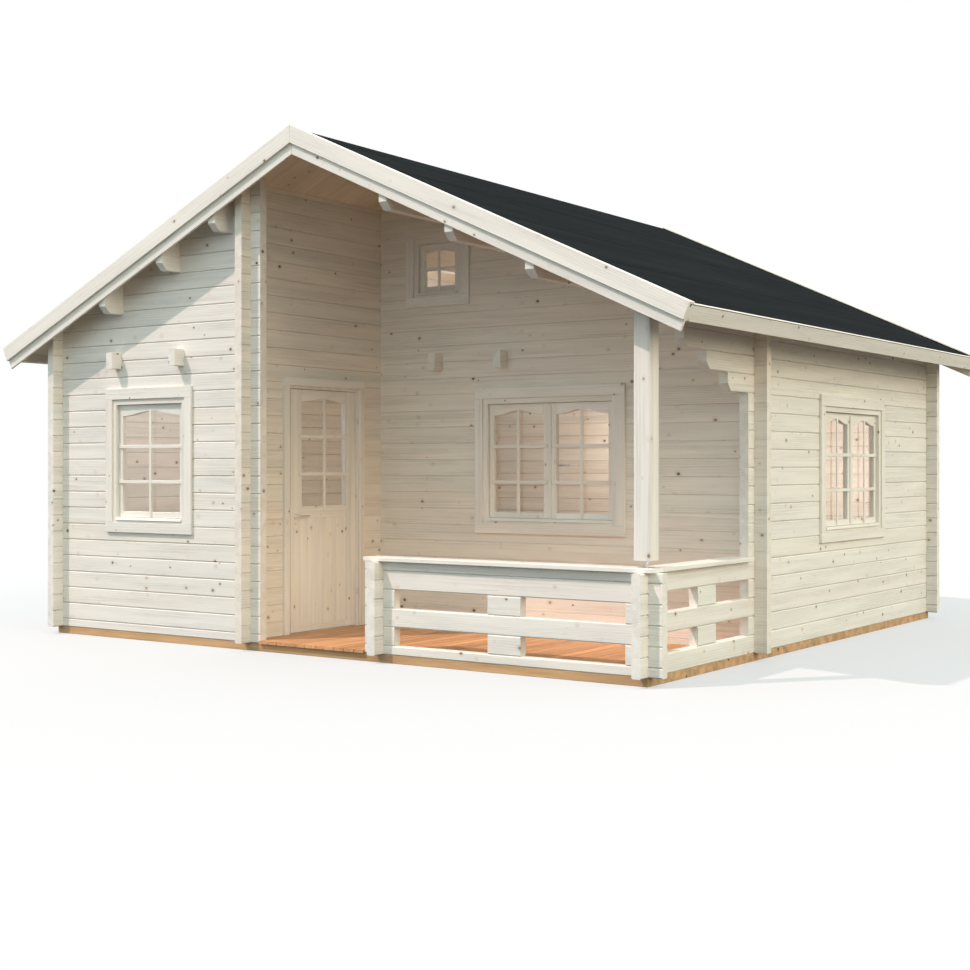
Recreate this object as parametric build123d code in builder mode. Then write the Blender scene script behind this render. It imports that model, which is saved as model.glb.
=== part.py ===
"""Log cabin with a covered corner terrace, its walls laid up of squared logs notched at the corners."""

import os
from math import cos, radians, sin, tan

from build123d import *

# All lengths are in millimetres, with Z up and the ground at zero.

# Plan of the house, measured to the outer faces of the log walls.
house_width = 5750
house_depth = 5400
front_room_share = 0.393
terrace_depth = 1585

# Squared logs: every course of the side walls lies half a course off the front and back walls.
log_thick = 70
log_course = 135
log_end = 100
log_seam = 0.4
notch_room = 0.3
side_wall_rows = 19
door_rows = 15

# Bearers under the walls and the two boarded floors.
base_height = 60
base_inset = 5
base_joist_width = 60
base_joist_count = 9
floor_thick = 24
floor_room = 4
deck_overhang = 20

# Roof.
roof_pitch = 24.5
eave_height = 2431
eave_overhang = 422
front_overhang = 235
back_overhang = 182
roof_board_thick = 20
roof_felt_thick = 6
roof_seam = 0.4
verge_strip_thick = 14
verge_strip_width = 66
verge_board_thick = 22
verge_board_width = 108
verge_lower_thick = 20
verge_lower_drop = 74
fascia_thick = 20
fascia_width = 108

# Beams under the roof and the loft.
purlin_thick = 70
purlin_depth = 270
purlin_shares = (0.294, 0.495, 0.726)
purlin_chamfer = 55
ridge_beam_depth = 165
loft_row = 16
loft_front_shares = (0.333, 0.667)
loft_rear_shares = (0.188, 0.376)

# Stepped logs of the right wall that reach out towards the corner post.
corbel_first_row = 14
corbel_count = 3
corbel_step = 332
corbel_chamfer = 54

# Terrace railing, its cap, the corner post and the screw foot below it.
entry_width = 1240
rail_rows = 5
rail_cap_thick = 30
rail_cap_width = 170
rail_cap_reach = 78
post_side = 120
foot_height = 48
foot_plate_side = 84
foot_plate_thick = 5
foot_screw_radius = 12
foot_nut_radius = 19
foot_nut_height = 14

# Boards round the windows and the door.
casing_thick = 22
casing_side = 76
casing_head = 91
casing_foot = 81
door_casing_side = 62
door_casing_head = 64
door_casing_lip = 20

# Windows: a frame fills the hole in the logs and stands out inside the boards round it; the sashes
# lie behind the wall's face.
frame_room = 0.5
frame_lip = 11
frame_bar = 54
frame_proud = 8
frame_depth = 78
sash_set_back = 20
sash_depth = 44
sash_stile = 48
sash_head = 56
sash_foot = 49
sash_meeting = 118
arch_rise = 38
glass_thick = 4
glass_room = 0.3

single_glass_width = 666
double_glass_width = 480
window_glass_height = 783
window_glass_foot = 989
gable_glass_width = 316
gable_glass_height = 280
gable_window_share = 0.53
gable_arch_rise = 19

# Door.
door_middle = 851
door_width = 800
door_thick = 45
door_room = 5
door_floor_room = 8
door_frame_bar = 44
door_stop_width = 14
door_stop_thick = 16
door_glass_width = 534
door_glass_height = 842
door_glass_foot = 1040
door_arch_rise = 26
door_panel_width = 590
door_panel_height = 860
door_panel_foot = 82
door_panel_sink = 7
hinge_radius = 8
hinge_pin_radius = 4
hinge_pin_room = 0.1
hinge_height = 46
hinge_seat_room = 0.3
hinge_leaf_width = 34
hinge_leaf_thick = 3
hinge_inset = 260
handle_height = 960
handle_edge = 62
handle_rose_radius = 26
handle_rose_thick = 8
handle_reach = 42
handle_radius = 9
handle_length = 110

# Lines that follow from these sizes.
pitch = radians(roof_pitch)
roof_length = front_overhang + house_depth + back_overhang
left_face = -house_width / 2
right_face = house_width / 2
front_face = -roof_length / 2 + front_overhang
back_face = front_face + house_depth
recess_face = front_face + terrace_depth
porch_face = left_face + house_width * front_room_share
wall_foot = base_height
half_course = log_course / 2
floor_top = wall_foot + floor_thick
eave_line = house_width / 2 + eave_overhang
ridge_top = eave_height + eave_line * tan(pitch)
felt_top = ridge_top - verge_strip_thick / cos(pitch)
board_top = felt_top - roof_felt_thick / cos(pitch)
ridge_under = board_top - roof_board_thick / cos(pitch)
beam_top = ridge_under - roof_seam / cos(pitch)
roof_front = -roof_length / 2 + verge_board_thick + roof_seam
roof_back = roof_length / 2 - verge_board_thick - roof_seam
beam_front = roof_front + verge_lower_thick + roof_seam
beam_back = roof_back - verge_lower_thick - roof_seam
short_log = log_thick + 2 * log_end
left_middle = left_face + log_thick / 2
right_middle = right_face - log_thick / 2
porch_middle = porch_face - log_thick / 2
front_middle = front_face + log_thick / 2
recess_middle = recess_face + log_thick / 2
back_middle = back_face - log_thick / 2
rail_middle = porch_face + entry_width + log_thick / 2
rail_top = wall_foot + rail_rows * log_course
gable_rows = int((ridge_under - wall_foot) / log_course) + 1
plate_row = corbel_first_row + corbel_count
notch_width = log_thick + 2 * notch_room
loft_foot = wall_foot + loft_row * log_course
front_span = porch_middle - left_middle
rear_span = right_middle - porch_middle
front_loft_places = tuple(left_middle + share * front_span for share in loft_front_shares)
rear_loft_places = tuple(porch_middle + share * rear_span for share in loft_rear_shares)
purlin_places = tuple(share * house_width / 2 for share in purlin_shares)
all_purlin_places = tuple(-place for place in purlin_places) + purlin_places

under_left = Plane((0, 0, beam_top), x_dir=(0, 1, 0), z_dir=(-sin(pitch), 0, cos(pitch)))
under_right = Plane((0, 0, beam_top), x_dir=(0, 1, 0), z_dir=(sin(pitch), 0, cos(pitch)))


def facing_front(y):
    """Upright plane that looks to the front, with its own y along Z."""
    return Plane((0, y, 0), x_dir=(1, 0, 0), z_dir=(0, -1, 0))


def facing_right(x):
    """Upright plane that looks to the right, with its own x along Y."""
    return Plane((x, 0, 0), x_dir=(0, 1, 0), z_dir=(1, 0, 0))


def row_foot(row):
    """Height of the underside of a side wall's log."""
    return wall_foot + row * log_course


def lay_log(start, stop, foot, height=log_course):
    """One squared log, seen from its long side."""
    with Locations(((start + stop) / 2, foot)):
        Rectangle(stop - start, height - log_seam, align=(Align.CENTER, Align.MIN))


def lay_rows(start, stop, foot, rows):
    """A stack of logs, one on another."""
    with Locations(((start + stop) / 2, foot + (rows - 1) * log_course / 2)):
        with GridLocations(0, log_course, 1, rows):
            Rectangle(stop - start, log_course - log_seam, align=(Align.CENTER, Align.MIN))


def notch_rows(place, foot, rows):
    """Saddle notches in the lower half of each log, where another wall's logs cross it."""
    with Locations((place, foot + (rows - 1) * log_course / 2)):
        with GridLocations(0, log_course, 1, rows):
            Rectangle(
                notch_width,
                half_course,
                align=(Align.CENTER, Align.MIN),
                mode=Mode.SUBTRACT,
            )


def gable_line(reach):
    """Keeps what lies below the roof."""
    low = beam_top - reach * tan(pitch)
    with BuildLine() as outline:
        Polyline((-reach, 0), (reach, 0), (reach, low), (0, beam_top), (-reach, low), close=True)
    make_face(outline.edges(), mode=Mode.INTERSECT)


def beam_holes(places, foot, height):
    """Holes in a wall for the beams that go through it."""
    with Locations(*[(place, foot - notch_room) for place in places]):
        Rectangle(
            notch_width,
            height + 2 * notch_room,
            align=(Align.CENTER, Align.MIN),
            mode=Mode.SUBTRACT,
        )


def purlin_foot(place):
    """Underside of the purlin that stands at this distance from the ridge."""
    return beam_top - abs(place) * tan(pitch) - purlin_depth


def purlin_holes(places):
    """Notches in a gable for the purlins."""
    for place in places:
        beam_holes((place,), purlin_foot(place), 2 * purlin_depth)


def ridge_hole():
    """Notch in a gable for the ridge beam."""
    beam_holes((0,), beam_top - ridge_beam_depth, 2 * ridge_beam_depth)


def hole(middle, foot, width, height):
    """Opening for a window or a door."""
    with Locations((middle, foot)):
        Rectangle(width, height, align=(Align.CENTER, Align.MIN), mode=Mode.SUBTRACT)


def arched(width, height, rise, mode=Mode.SUBTRACT):
    """Opening from its sill up, with a bell-shaped head: level at the sides and in the middle."""
    with BuildLine() as outline:
        Polyline((-width / 2, height), (-width / 2, 0), (width / 2, 0), (width / 2, height))
        for side in (-1, 1):
            turn = (side * width / 4, height + rise / 2)
            TangentArc((side * width / 2, height), turn, tangent=(-side, 0))
            TangentArc((0, height + rise), turn, tangent=(side, 0))
    make_face(outline.edges(), mode=mode)


# Widths and heights of the window holes.
single_sash_width = single_glass_width + 2 * sash_stile
double_sash_width = 2 * double_glass_width + 2 * sash_stile + sash_meeting
gable_sash_width = gable_glass_width + 2 * sash_stile
window_sash_height = sash_foot + window_glass_height + arch_rise + sash_head
gable_sash_height = sash_foot + gable_glass_height + gable_arch_rise + sash_head
frame_extra = 2 * frame_bar + 2 * frame_room
window_sash_foot = wall_foot + window_glass_foot - sash_foot
loft_top = loft_foot + log_course
ridge_beam_foot = beam_top - ridge_beam_depth
gable_window_height = loft_top + gable_window_share * (ridge_beam_foot - loft_top)
gable_sash_foot = gable_window_height - gable_sash_height / 2
window_hole_foot = window_sash_foot - frame_bar - frame_room
gable_hole_foot = gable_sash_foot - frame_bar - frame_room
window_hole_height = window_sash_height + frame_extra
gable_hole_height = gable_sash_height + frame_extra
front_window_middle = (left_face + porch_face) / 2
recess_window_middle = (porch_face + right_face - log_thick) / 2
right_window_middle = (recess_face + back_face) / 2

# Door places.
door_y = front_face + door_middle
door_foot = floor_top + door_floor_room
door_top = wall_foot + door_rows * log_course - door_frame_bar - door_room
door_height = door_top - door_foot
door_hole_width = door_width + 2 * door_room + 2 * door_frame_bar + 2 * frame_room
door_hole_height = door_rows * log_course

# Front wall of the small room.
with BuildPart() as front_wall:
    with BuildSketch(facing_front(front_face)):
        lay_log(left_face - log_end, porch_face + log_end, wall_foot, half_course)
        lay_rows(left_face - log_end, porch_face + log_end, wall_foot + half_course, gable_rows)
        notch_rows(left_middle, wall_foot + half_course, gable_rows)
        notch_rows(porch_middle, wall_foot + half_course, gable_rows)
        hole(
            front_window_middle,
            window_hole_foot,
            single_sash_width + frame_extra,
            window_hole_height,
        )
        beam_holes(front_loft_places, loft_foot, log_course - log_seam)
        purlin_holes([-place for place in purlin_places])
        gable_line(house_width / 2 + eave_overhang)
    extrude(amount=-log_thick)
front_wall.part.label = "front_wall"

# Wall at the back of the terrace.
with BuildPart() as recess_wall:
    with BuildSketch(facing_front(recess_face)):
        lay_log(porch_face - log_thick - log_end, right_face + log_end, wall_foot, half_course)
        lay_rows(
            porch_face - log_thick - log_end,
            right_face + log_end,
            wall_foot + half_course,
            gable_rows,
        )
        notch_rows(porch_middle, wall_foot + half_course, gable_rows)
        notch_rows(right_middle, wall_foot + half_course, gable_rows)
        hole(
            recess_window_middle,
            window_hole_foot,
            double_sash_width + frame_extra,
            window_hole_height,
        )
        hole(0, gable_hole_foot, gable_sash_width + frame_extra, gable_hole_height)
        beam_holes(rear_loft_places, loft_foot, log_course - log_seam)
        purlin_holes(purlin_places)
        ridge_hole()
        gable_line(house_width / 2 + eave_overhang)
    extrude(amount=-log_thick)
recess_wall.part.label = "recess_wall"

# Back wall.
with BuildPart() as back_wall:
    with BuildSketch(facing_front(back_face - log_thick)):
        lay_log(left_face - log_end, right_face + log_end, wall_foot, half_course)
        lay_rows(left_face - log_end, right_face + log_end, wall_foot + half_course, gable_rows)
        notch_rows(left_middle, wall_foot + half_course, gable_rows)
        notch_rows(right_middle, wall_foot + half_course, gable_rows)
        beam_holes(front_loft_places + rear_loft_places, loft_foot, log_course - log_seam)
        purlin_holes(all_purlin_places)
        ridge_hole()
        gable_line(house_width / 2 + eave_overhang)
    extrude(amount=-log_thick)
back_wall.part.label = "back_wall"

# Left wall.
with BuildPart() as left_wall:
    with BuildSketch(facing_right(left_face)):
        lay_rows(front_face - log_end, back_face + log_end, wall_foot, side_wall_rows)
        notch_rows(front_middle, wall_foot, side_wall_rows)
        notch_rows(back_middle, wall_foot, side_wall_rows)
    extrude(amount=log_thick)
    split(bisect_by=under_left, keep=Keep.BOTTOM)
left_wall.part.label = "left_wall"


def corbel_start(row):
    """Front end of a stepped log."""
    steps = row - corbel_first_row + 1
    return recess_face - log_end - corbel_step * steps


# Right wall: some of its logs run on as the terrace rails, the stepped logs and the top plate.
with BuildPart() as right_wall:
    with BuildSketch(facing_right(right_face - log_thick)):
        for row in range(side_wall_rows):
            start = recess_face - log_end
            if row < rail_rows and row % 2 == 0:
                start = front_face - log_end
            if corbel_first_row <= row < plate_row:
                start = corbel_start(row)
            if row == plate_row:
                start = front_middle + post_side / 2 + notch_room
            if row > plate_row:
                start = beam_front
            lay_log(start, back_face + log_end, row_foot(row))
        notch_rows(recess_middle, wall_foot, side_wall_rows)
        notch_rows(back_middle, wall_foot, side_wall_rows)
        notch_rows(front_middle, wall_foot, rail_rows)
        for row in range(corbel_first_row, plate_row):
            start = corbel_start(row)
            with BuildLine():
                Polyline(
                    (start, row_foot(row)),
                    (start + corbel_chamfer, row_foot(row)),
                    (start, row_foot(row) + corbel_chamfer),
                    close=True,
                )
            make_face(mode=Mode.SUBTRACT)
        hole(
            right_window_middle,
            window_hole_foot - half_course,
            double_sash_width + frame_extra,
            window_hole_height,
        )
    extrude(amount=log_thick)
    split(bisect_by=under_right, keep=Keep.BOTTOM)
right_wall.part.label = "right_wall"

# Wall beside the terrace, with the doorway: two pieces beside it and one over it.
with BuildPart() as porch_wall_front:
    with BuildSketch(facing_right(porch_face - log_thick)):
        lay_rows(front_face - log_end, door_y - door_hole_width / 2, wall_foot, door_rows)
        notch_rows(front_middle, wall_foot, door_rows)
    extrude(amount=log_thick)
porch_wall_front.part.label = "porch_wall_front"

with BuildPart() as porch_wall_rear:
    with BuildSketch(facing_right(porch_face - log_thick)):
        lay_rows(
            door_y + door_hole_width / 2,
            recess_face + log_thick + log_end,
            wall_foot,
            door_rows,
        )
        notch_rows(recess_middle, wall_foot, door_rows)
    extrude(amount=log_thick)
porch_wall_rear.part.label = "porch_wall_rear"

over_rows = gable_rows - door_rows
with BuildPart() as porch_wall_over:
    with BuildSketch(facing_right(porch_face - log_thick)):
        lay_rows(
            front_face - log_end,
            recess_face + log_thick + log_end,
            row_foot(door_rows),
            over_rows,
        )
        notch_rows(front_middle, row_foot(door_rows), over_rows)
        notch_rows(recess_middle, row_foot(door_rows), over_rows)
    extrude(amount=log_thick)
    split(bisect_by=under_left, keep=Keep.BOTTOM)
porch_wall_over.part.label = "porch_wall_over"

# Bearers under the walls and the floors.
with BuildPart() as base_beams:
    beam_width = log_thick - 2 * base_inset
    with BuildSketch():
        with Locations((0, front_middle), (0, back_middle)):
            Rectangle(house_width - 2 * base_inset, beam_width)
        with Locations((0, recess_middle)):
            Rectangle(house_width - 2 * base_inset, beam_width)
        with Locations((left_middle, (front_face + back_face) / 2)):
            Rectangle(beam_width, house_depth - 2 * base_inset)
        with Locations((right_middle, (front_face + back_face) / 2)):
            Rectangle(beam_width, house_depth - 2 * base_inset)
        with Locations((porch_middle, (front_face + back_face) / 2)):
            Rectangle(beam_width, house_depth - 2 * base_inset)
        with Locations((0, (front_face + back_face) / 2)):
            with GridLocations(house_width / (base_joist_count + 1), 0, base_joist_count, 1):
                Rectangle(base_joist_width, house_depth - 2 * base_inset)
    extrude(amount=base_height)
base_beams.part.label = "base_beams"

# Boarded floor of the rooms, let in round the log ends of the inner corner.
room_left = left_face + log_thick + floor_room
room_right = right_face - log_thick - floor_room
room_back = back_face - log_thick - floor_room
main_front = recess_face + log_thick + floor_room
with BuildPart() as room_floor:
    with BuildSketch(Plane.XY.offset(wall_foot)):
        with Locations(((room_left + room_right) / 2, (main_front + room_back) / 2)):
            Rectangle(room_right - room_left, room_back - main_front)
        small_right = porch_face - log_thick - floor_room
        small_front = front_face + log_thick + floor_room
        small_back = main_front - log_seam
        with Locations(((room_left + small_right) / 2, (small_front + small_back) / 2)):
            Rectangle(small_right - room_left, small_back - small_front)
        with Locations((porch_face - log_thick, recess_middle)):
            Rectangle(
                log_end + floor_room,
                log_thick + 2 * floor_room,
                align=(Align.MAX, Align.CENTER),
                mode=Mode.SUBTRACT,
            )
        with Locations((porch_middle, recess_face + log_thick)):
            Rectangle(
                log_thick + 2 * floor_room,
                log_end + floor_room,
                align=(Align.CENTER, Align.MIN),
                mode=Mode.SUBTRACT,
            )
    extrude(amount=floor_thick)
room_floor.part.label = "room_floor"

# Terrace deck, with a tongue that runs out between the corner and the railing.
deck_left = porch_face + floor_room
deck_front = front_face + log_thick + floor_room
deck_back = recess_face - floor_room
tongue_left = porch_face + log_end + floor_room
tongue_right = rail_middle - log_thick / 2 - log_end - floor_room
with BuildPart() as terrace_deck:
    with BuildSketch(Plane.XY.offset(wall_foot)):
        with Locations(((deck_left + room_right) / 2, (deck_front + deck_back) / 2)):
            Rectangle(room_right - deck_left, deck_back - deck_front)
        with Locations(((tongue_left + tongue_right) / 2, deck_front)):
            Rectangle(
                tongue_right - tongue_left,
                deck_front - front_face + deck_overhang,
                align=(Align.CENTER, Align.MAX),
            )
        with Locations((rail_middle, front_middle)):
            Rectangle(
                log_thick + 2 * floor_room,
                short_log + 2 * floor_room,
                mode=Mode.SUBTRACT,
            )
    extrude(amount=floor_thick)
terrace_deck.part.label = "terrace_deck"

# Front railing: long logs, with short logs between them at the ends and half-way.
rail_start = rail_middle - short_log / 2
rail_stop = right_face + log_end
rail_mid_span = (rail_middle + right_middle) / 2
with BuildPart() as front_railing:
    with BuildSketch(facing_front(front_face)):
        lay_log(rail_start, rail_stop, wall_foot, half_course)
        lay_log(rail_start, rail_stop, wall_foot + half_course + log_course)
        lay_log(rail_start, rail_stop, wall_foot + half_course + 3 * log_course)
        for row in (0, 2):
            foot = wall_foot + half_course + row * log_course
            for middle in (rail_middle, rail_mid_span, right_middle):
                lay_log(middle - short_log / 2, middle + short_log / 2, foot)
        notch_rows(rail_middle, wall_foot + half_course, rail_rows - 1)
        notch_rows(right_middle, wall_foot + half_course, rail_rows - 1)
        lay_log(rail_start, rail_stop, rail_top - half_course, half_course)
        for middle in (rail_middle, right_middle):
            hole(middle, rail_top - half_course, notch_width, half_course)
    extrude(amount=-log_thick)
front_railing.part.label = "front_railing"

# Short logs across the front railing, and those between the side rails.
side_mid_span = (front_middle + recess_middle) / 2
with BuildPart() as rail_blocks:
    with BuildSketch(facing_right(rail_middle - log_thick / 2)):
        lay_rows(front_middle - short_log / 2, front_middle + short_log / 2, wall_foot, rail_rows)
        notch_rows(front_middle, wall_foot, rail_rows)
    extrude(amount=log_thick)
    with BuildSketch(facing_right(right_face - log_thick)):
        for row in (1, 3):
            for middle in (front_middle, side_mid_span):
                lay_log(middle - short_log / 2, middle + short_log / 2, row_foot(row))
        notch_rows(front_middle, wall_foot, rail_rows)
    extrude(amount=log_thick)
rail_blocks.part.label = "rail_blocks"

# Cap boards on both rails.
cap_side_start = front_middle + rail_cap_width / 2 + log_seam
cap_side_stop = recess_face - log_end - log_seam
cap_left = rail_middle - log_thick / 2 - rail_cap_reach
cap_right = right_middle + rail_cap_width / 2
with BuildPart() as rail_cap:
    with BuildSketch(Plane.XY.offset(rail_top)):
        with Locations(((cap_left + cap_right) / 2, front_middle)):
            Rectangle(cap_right - cap_left, rail_cap_width)
        with Locations((right_middle, (cap_side_start + cap_side_stop) / 2)):
            Rectangle(rail_cap_width, cap_side_stop - cap_side_start)
    extrude(amount=rail_cap_thick)
rail_cap.part.label = "rail_cap"

# Screw foot and corner post.
cap_top = rail_top + rail_cap_thick
post_foot_height = cap_top + foot_height
post_top = row_foot(plate_row + 1) - log_seam
with BuildPart() as post_foot:
    with BuildSketch(Plane((right_middle, front_middle, cap_top))):
        Rectangle(foot_plate_side, foot_plate_side)
    extrude(amount=foot_plate_thick)
    with BuildSketch(Plane((right_middle, front_middle, cap_top))):
        Circle(foot_screw_radius)
    extrude(amount=foot_height)
    with BuildSketch(Plane((right_middle, front_middle, post_foot_height - foot_plate_thick))):
        RegularPolygon(foot_nut_radius, 6)
    extrude(amount=-foot_nut_height)
    with BuildSketch(Plane((right_middle, front_middle, post_foot_height))):
        Rectangle(foot_plate_side, foot_plate_side)
    extrude(amount=-foot_plate_thick)
post_foot.part.label = "post_foot"

with BuildPart() as corner_post:
    with BuildSketch(Plane((right_middle, front_middle, post_foot_height))):
        Rectangle(post_side, post_side)
    extrude(amount=post_top - post_foot_height)
corner_post.part.label = "corner_post"

# Loft beams, whose ends stand out of the walls.
with BuildPart() as loft_beams:
    with BuildSketch(Plane.XY.offset(loft_foot)):
        for place in front_loft_places:
            start = front_face - log_end
            stop = back_face + log_end
            with Locations((place, (start + stop) / 2)):
                Rectangle(log_thick, stop - start)
        for place in rear_loft_places:
            start = recess_face - log_end
            stop = back_face + log_end
            with Locations((place, (start + stop) / 2)):
                Rectangle(log_thick, stop - start)
    extrude(amount=log_course - log_seam)
loft_beams.part.label = "loft_beams"


def beam_side(foot, height):
    """Long side of a roof beam, both ends cut off slanting below."""
    with BuildLine() as outline:
        Polyline(
            (beam_front + purlin_chamfer, foot),
            (beam_back - purlin_chamfer, foot),
            (beam_back, foot + purlin_chamfer),
            (beam_back, foot + height),
            (beam_front, foot + height),
            (beam_front, foot + purlin_chamfer),
            close=True,
        )
    make_face(outline.edges())


# Purlins and ridge beam, their tops planed to the slope of the roof.
with BuildPart() as left_purlins:
    for place in purlin_places:
        with BuildSketch(facing_right(-place - purlin_thick / 2)):
            beam_side(purlin_foot(place), 2 * purlin_depth)
        extrude(amount=purlin_thick)
    split(bisect_by=under_left, keep=Keep.BOTTOM)
left_purlins.part.label = "left_purlins"

with BuildPart() as right_purlins:
    for place in purlin_places:
        with BuildSketch(facing_right(place - purlin_thick / 2)):
            beam_side(purlin_foot(place), 2 * purlin_depth)
        extrude(amount=purlin_thick)
    split(bisect_by=under_right, keep=Keep.BOTTOM)
right_purlins.part.label = "right_purlins"

with BuildPart() as ridge_beam:
    with BuildSketch(facing_right(-purlin_thick / 2)):
        beam_side(beam_top - ridge_beam_depth, 2 * ridge_beam_depth)
    extrude(amount=purlin_thick)
    split(bisect_by=under_left, keep=Keep.BOTTOM)
    split(bisect_by=under_right, keep=Keep.BOTTOM)
ridge_beam.part.label = "ridge_beam"


def at_ridge(side, depth):
    """Point of a roof layer at the ridge, this deep below the top of the verge."""
    x = roof_seam / 2
    return (side * x, ridge_top - depth / cos(pitch) - x * tan(pitch))


def at_eave(side, depth, back):
    """Point of a roof layer at the eave, cut square to the slope."""
    x = eave_line - back * cos(pitch) - depth * sin(pitch)
    return (side * x, eave_height + back * sin(pitch) - depth * cos(pitch))


def slope_layer(side, upper, lower, back):
    """Section of one slope of a layer of the roof, from ridge to eave."""
    with BuildLine() as outline:
        Polyline(
            at_ridge(side, upper),
            at_eave(side, upper, back),
            at_eave(side, lower, back),
            at_ridge(side, lower),
            close=True,
        )
    make_face(outline.edges())


felt_depth = verge_strip_thick
board_depth = felt_depth + roof_felt_thick
under_depth = board_depth + roof_board_thick
verge_depth = verge_strip_thick + verge_board_width
verge_low_depth = verge_depth + verge_lower_drop
fascia_depth = board_depth + fascia_width

with BuildPart() as left_roof_boards:
    with BuildSketch(facing_front(roof_front)):
        slope_layer(-1, board_depth, under_depth, fascia_thick + roof_seam)
    extrude(amount=roof_front - roof_back)
left_roof_boards.part.label = "left_roof_boards"

with BuildPart() as right_roof_boards:
    with BuildSketch(facing_front(roof_front)):
        slope_layer(1, board_depth, under_depth, fascia_thick + roof_seam)
    extrude(amount=roof_front - roof_back)
right_roof_boards.part.label = "right_roof_boards"

with BuildPart() as left_roof_felt:
    with BuildSketch(facing_front(roof_front)):
        slope_layer(-1, felt_depth, board_depth, 0)
    extrude(amount=roof_front - roof_back)
left_roof_felt.part.label = "left_roof_felt"

with BuildPart() as right_roof_felt:
    with BuildSketch(facing_front(roof_front)):
        slope_layer(1, felt_depth, board_depth, 0)
    extrude(amount=roof_front - roof_back)
right_roof_felt.part.label = "right_roof_felt"


def verge(y, inward):
    """Verge of one gable: top strip, wide board and the narrower board behind it."""
    for side in (-1, 1):
        with BuildSketch(facing_front(y)) as strip:
            slope_layer(side, 0, verge_strip_thick, 0)
        extrude(strip.sketch, amount=-inward * verge_strip_width)
        with BuildSketch(facing_front(y)) as upper:
            slope_layer(side, verge_strip_thick, verge_depth, 0)
        extrude(upper.sketch, amount=-inward * verge_board_thick)
        with BuildSketch(facing_front(y + inward * verge_board_thick)) as lower:
            slope_layer(side, under_depth + roof_seam, verge_low_depth, 0)
        extrude(lower.sketch, amount=-inward * verge_lower_thick)


with BuildPart() as front_verge:
    verge(-roof_length / 2, 1)
front_verge.part.label = "front_verge"

with BuildPart() as back_verge:
    verge(roof_length / 2, -1)
back_verge.part.label = "back_verge"

with BuildPart() as fascias:
    for side in (-1, 1):
        with BuildSketch(facing_front(beam_front)):
            with BuildLine():
                Polyline(
                    at_eave(side, board_depth + roof_seam, 0),
                    at_eave(side, fascia_depth, 0),
                    at_eave(side, fascia_depth, fascia_thick),
                    at_eave(side, board_depth + roof_seam, fascia_thick),
                    close=True,
                )
            make_face()
        extrude(amount=beam_front - beam_back)
fascias.part.label = "fascias"


def casing(plane, inner_width, inner_height):
    """Boards round a window, flat on the logs and lapping over the window's frame."""
    with BuildSketch(plane) as boards:
        with Locations((0, -casing_foot)):
            Rectangle(
                inner_width + 2 * casing_side,
                inner_height + casing_foot + casing_head,
                align=(Align.CENTER, Align.MIN),
            )
        hole(0, 0, inner_width, inner_height)
    extrude(boards.sketch, amount=casing_thick)


def frame_and_sash(plane, sash_width, sash_height, panes, glass_width, glass_height, rise):
    """Frame in the hole in the logs, with its sashes; the plane lies on the wall's face at the sash's foot."""
    with BuildSketch(plane) as ring:
        with Locations((0, -frame_bar)):
            Rectangle(
                sash_width + 2 * frame_bar,
                sash_height + 2 * frame_bar,
                align=(Align.CENTER, Align.MIN),
            )
        hole(0, 0, sash_width, sash_height)
    extrude(ring.sketch, amount=-frame_depth)
    with BuildSketch(plane) as face:
        with Locations((0, frame_room - frame_show)):
            Rectangle(
                sash_width + 2 * frame_show - 2 * frame_room,
                sash_height + 2 * frame_show - 2 * frame_room,
                align=(Align.CENTER, Align.MIN),
            )
        hole(0, 0, sash_width, sash_height)
    extrude(face.sketch, amount=frame_proud)
    with BuildSketch(plane.offset(-sash_set_back)) as sash:
        Rectangle(sash_width, sash_height, align=(Align.CENTER, Align.MIN))
        with Locations(*[(pane, sash_foot) for pane in panes]):
            add_arched(glass_width, glass_height, rise, Mode.SUBTRACT)
    extrude(sash.sketch, amount=-sash_depth)


def add_arched(width, height, rise, mode):
    """Light with a bell-shaped head, its sill at the place where it is put."""
    with BuildSketch(Plane.XY, mode=Mode.PRIVATE) as light:
        arched(width, height, rise, Mode.ADD)
    add(light.sketch, mode=mode)


def panes_of(plane, panes, glass_width, glass_height, rise):
    """Glass in the sashes."""
    with BuildSketch(plane.offset(glass_thick / 2 - sash_set_back - sash_depth / 2)) as sheet:
        with Locations(*[(pane, sash_foot + glass_room) for pane in panes]):
            add_arched(
                glass_width - 2 * glass_room,
                glass_height - 2 * glass_room,
                rise,
                Mode.ADD,
            )
    extrude(sheet.sketch, amount=-glass_thick)


frame_show = frame_bar - frame_lip
single_panes = (0,)
double_pane = (double_glass_width + sash_meeting) / 2
double_panes = (-double_pane, double_pane)
front_window_plane = Plane(
    (front_window_middle, front_face, window_sash_foot), x_dir=(1, 0, 0), z_dir=(0, -1, 0)
)
recess_window_plane = Plane(
    (recess_window_middle, recess_face, window_sash_foot), x_dir=(1, 0, 0), z_dir=(0, -1, 0)
)
gable_window_plane = Plane(
    (0, recess_face, gable_sash_foot), x_dir=(1, 0, 0), z_dir=(0, -1, 0)
)
right_window_plane = Plane(
    (right_face, right_window_middle, window_sash_foot - half_course),
    x_dir=(0, 1, 0),
    z_dir=(1, 0, 0),
)

with BuildPart() as front_window_frame:
    frame_and_sash(
        front_window_plane,
        single_sash_width,
        window_sash_height,
        single_panes,
        single_glass_width,
        window_glass_height,
        arch_rise,
    )
front_window_frame.part.label = "front_window_frame"

with BuildPart() as front_window_casing:
    casing(
        front_window_plane * Location((0, -frame_show, 0)),
        single_sash_width + 2 * frame_show,
        window_sash_height + 2 * frame_show,
    )
front_window_casing.part.label = "front_window_casing"

with BuildPart() as recess_window_frame:
    frame_and_sash(
        recess_window_plane,
        double_sash_width,
        window_sash_height,
        double_panes,
        double_glass_width,
        window_glass_height,
        arch_rise,
    )
recess_window_frame.part.label = "recess_window_frame"

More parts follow.
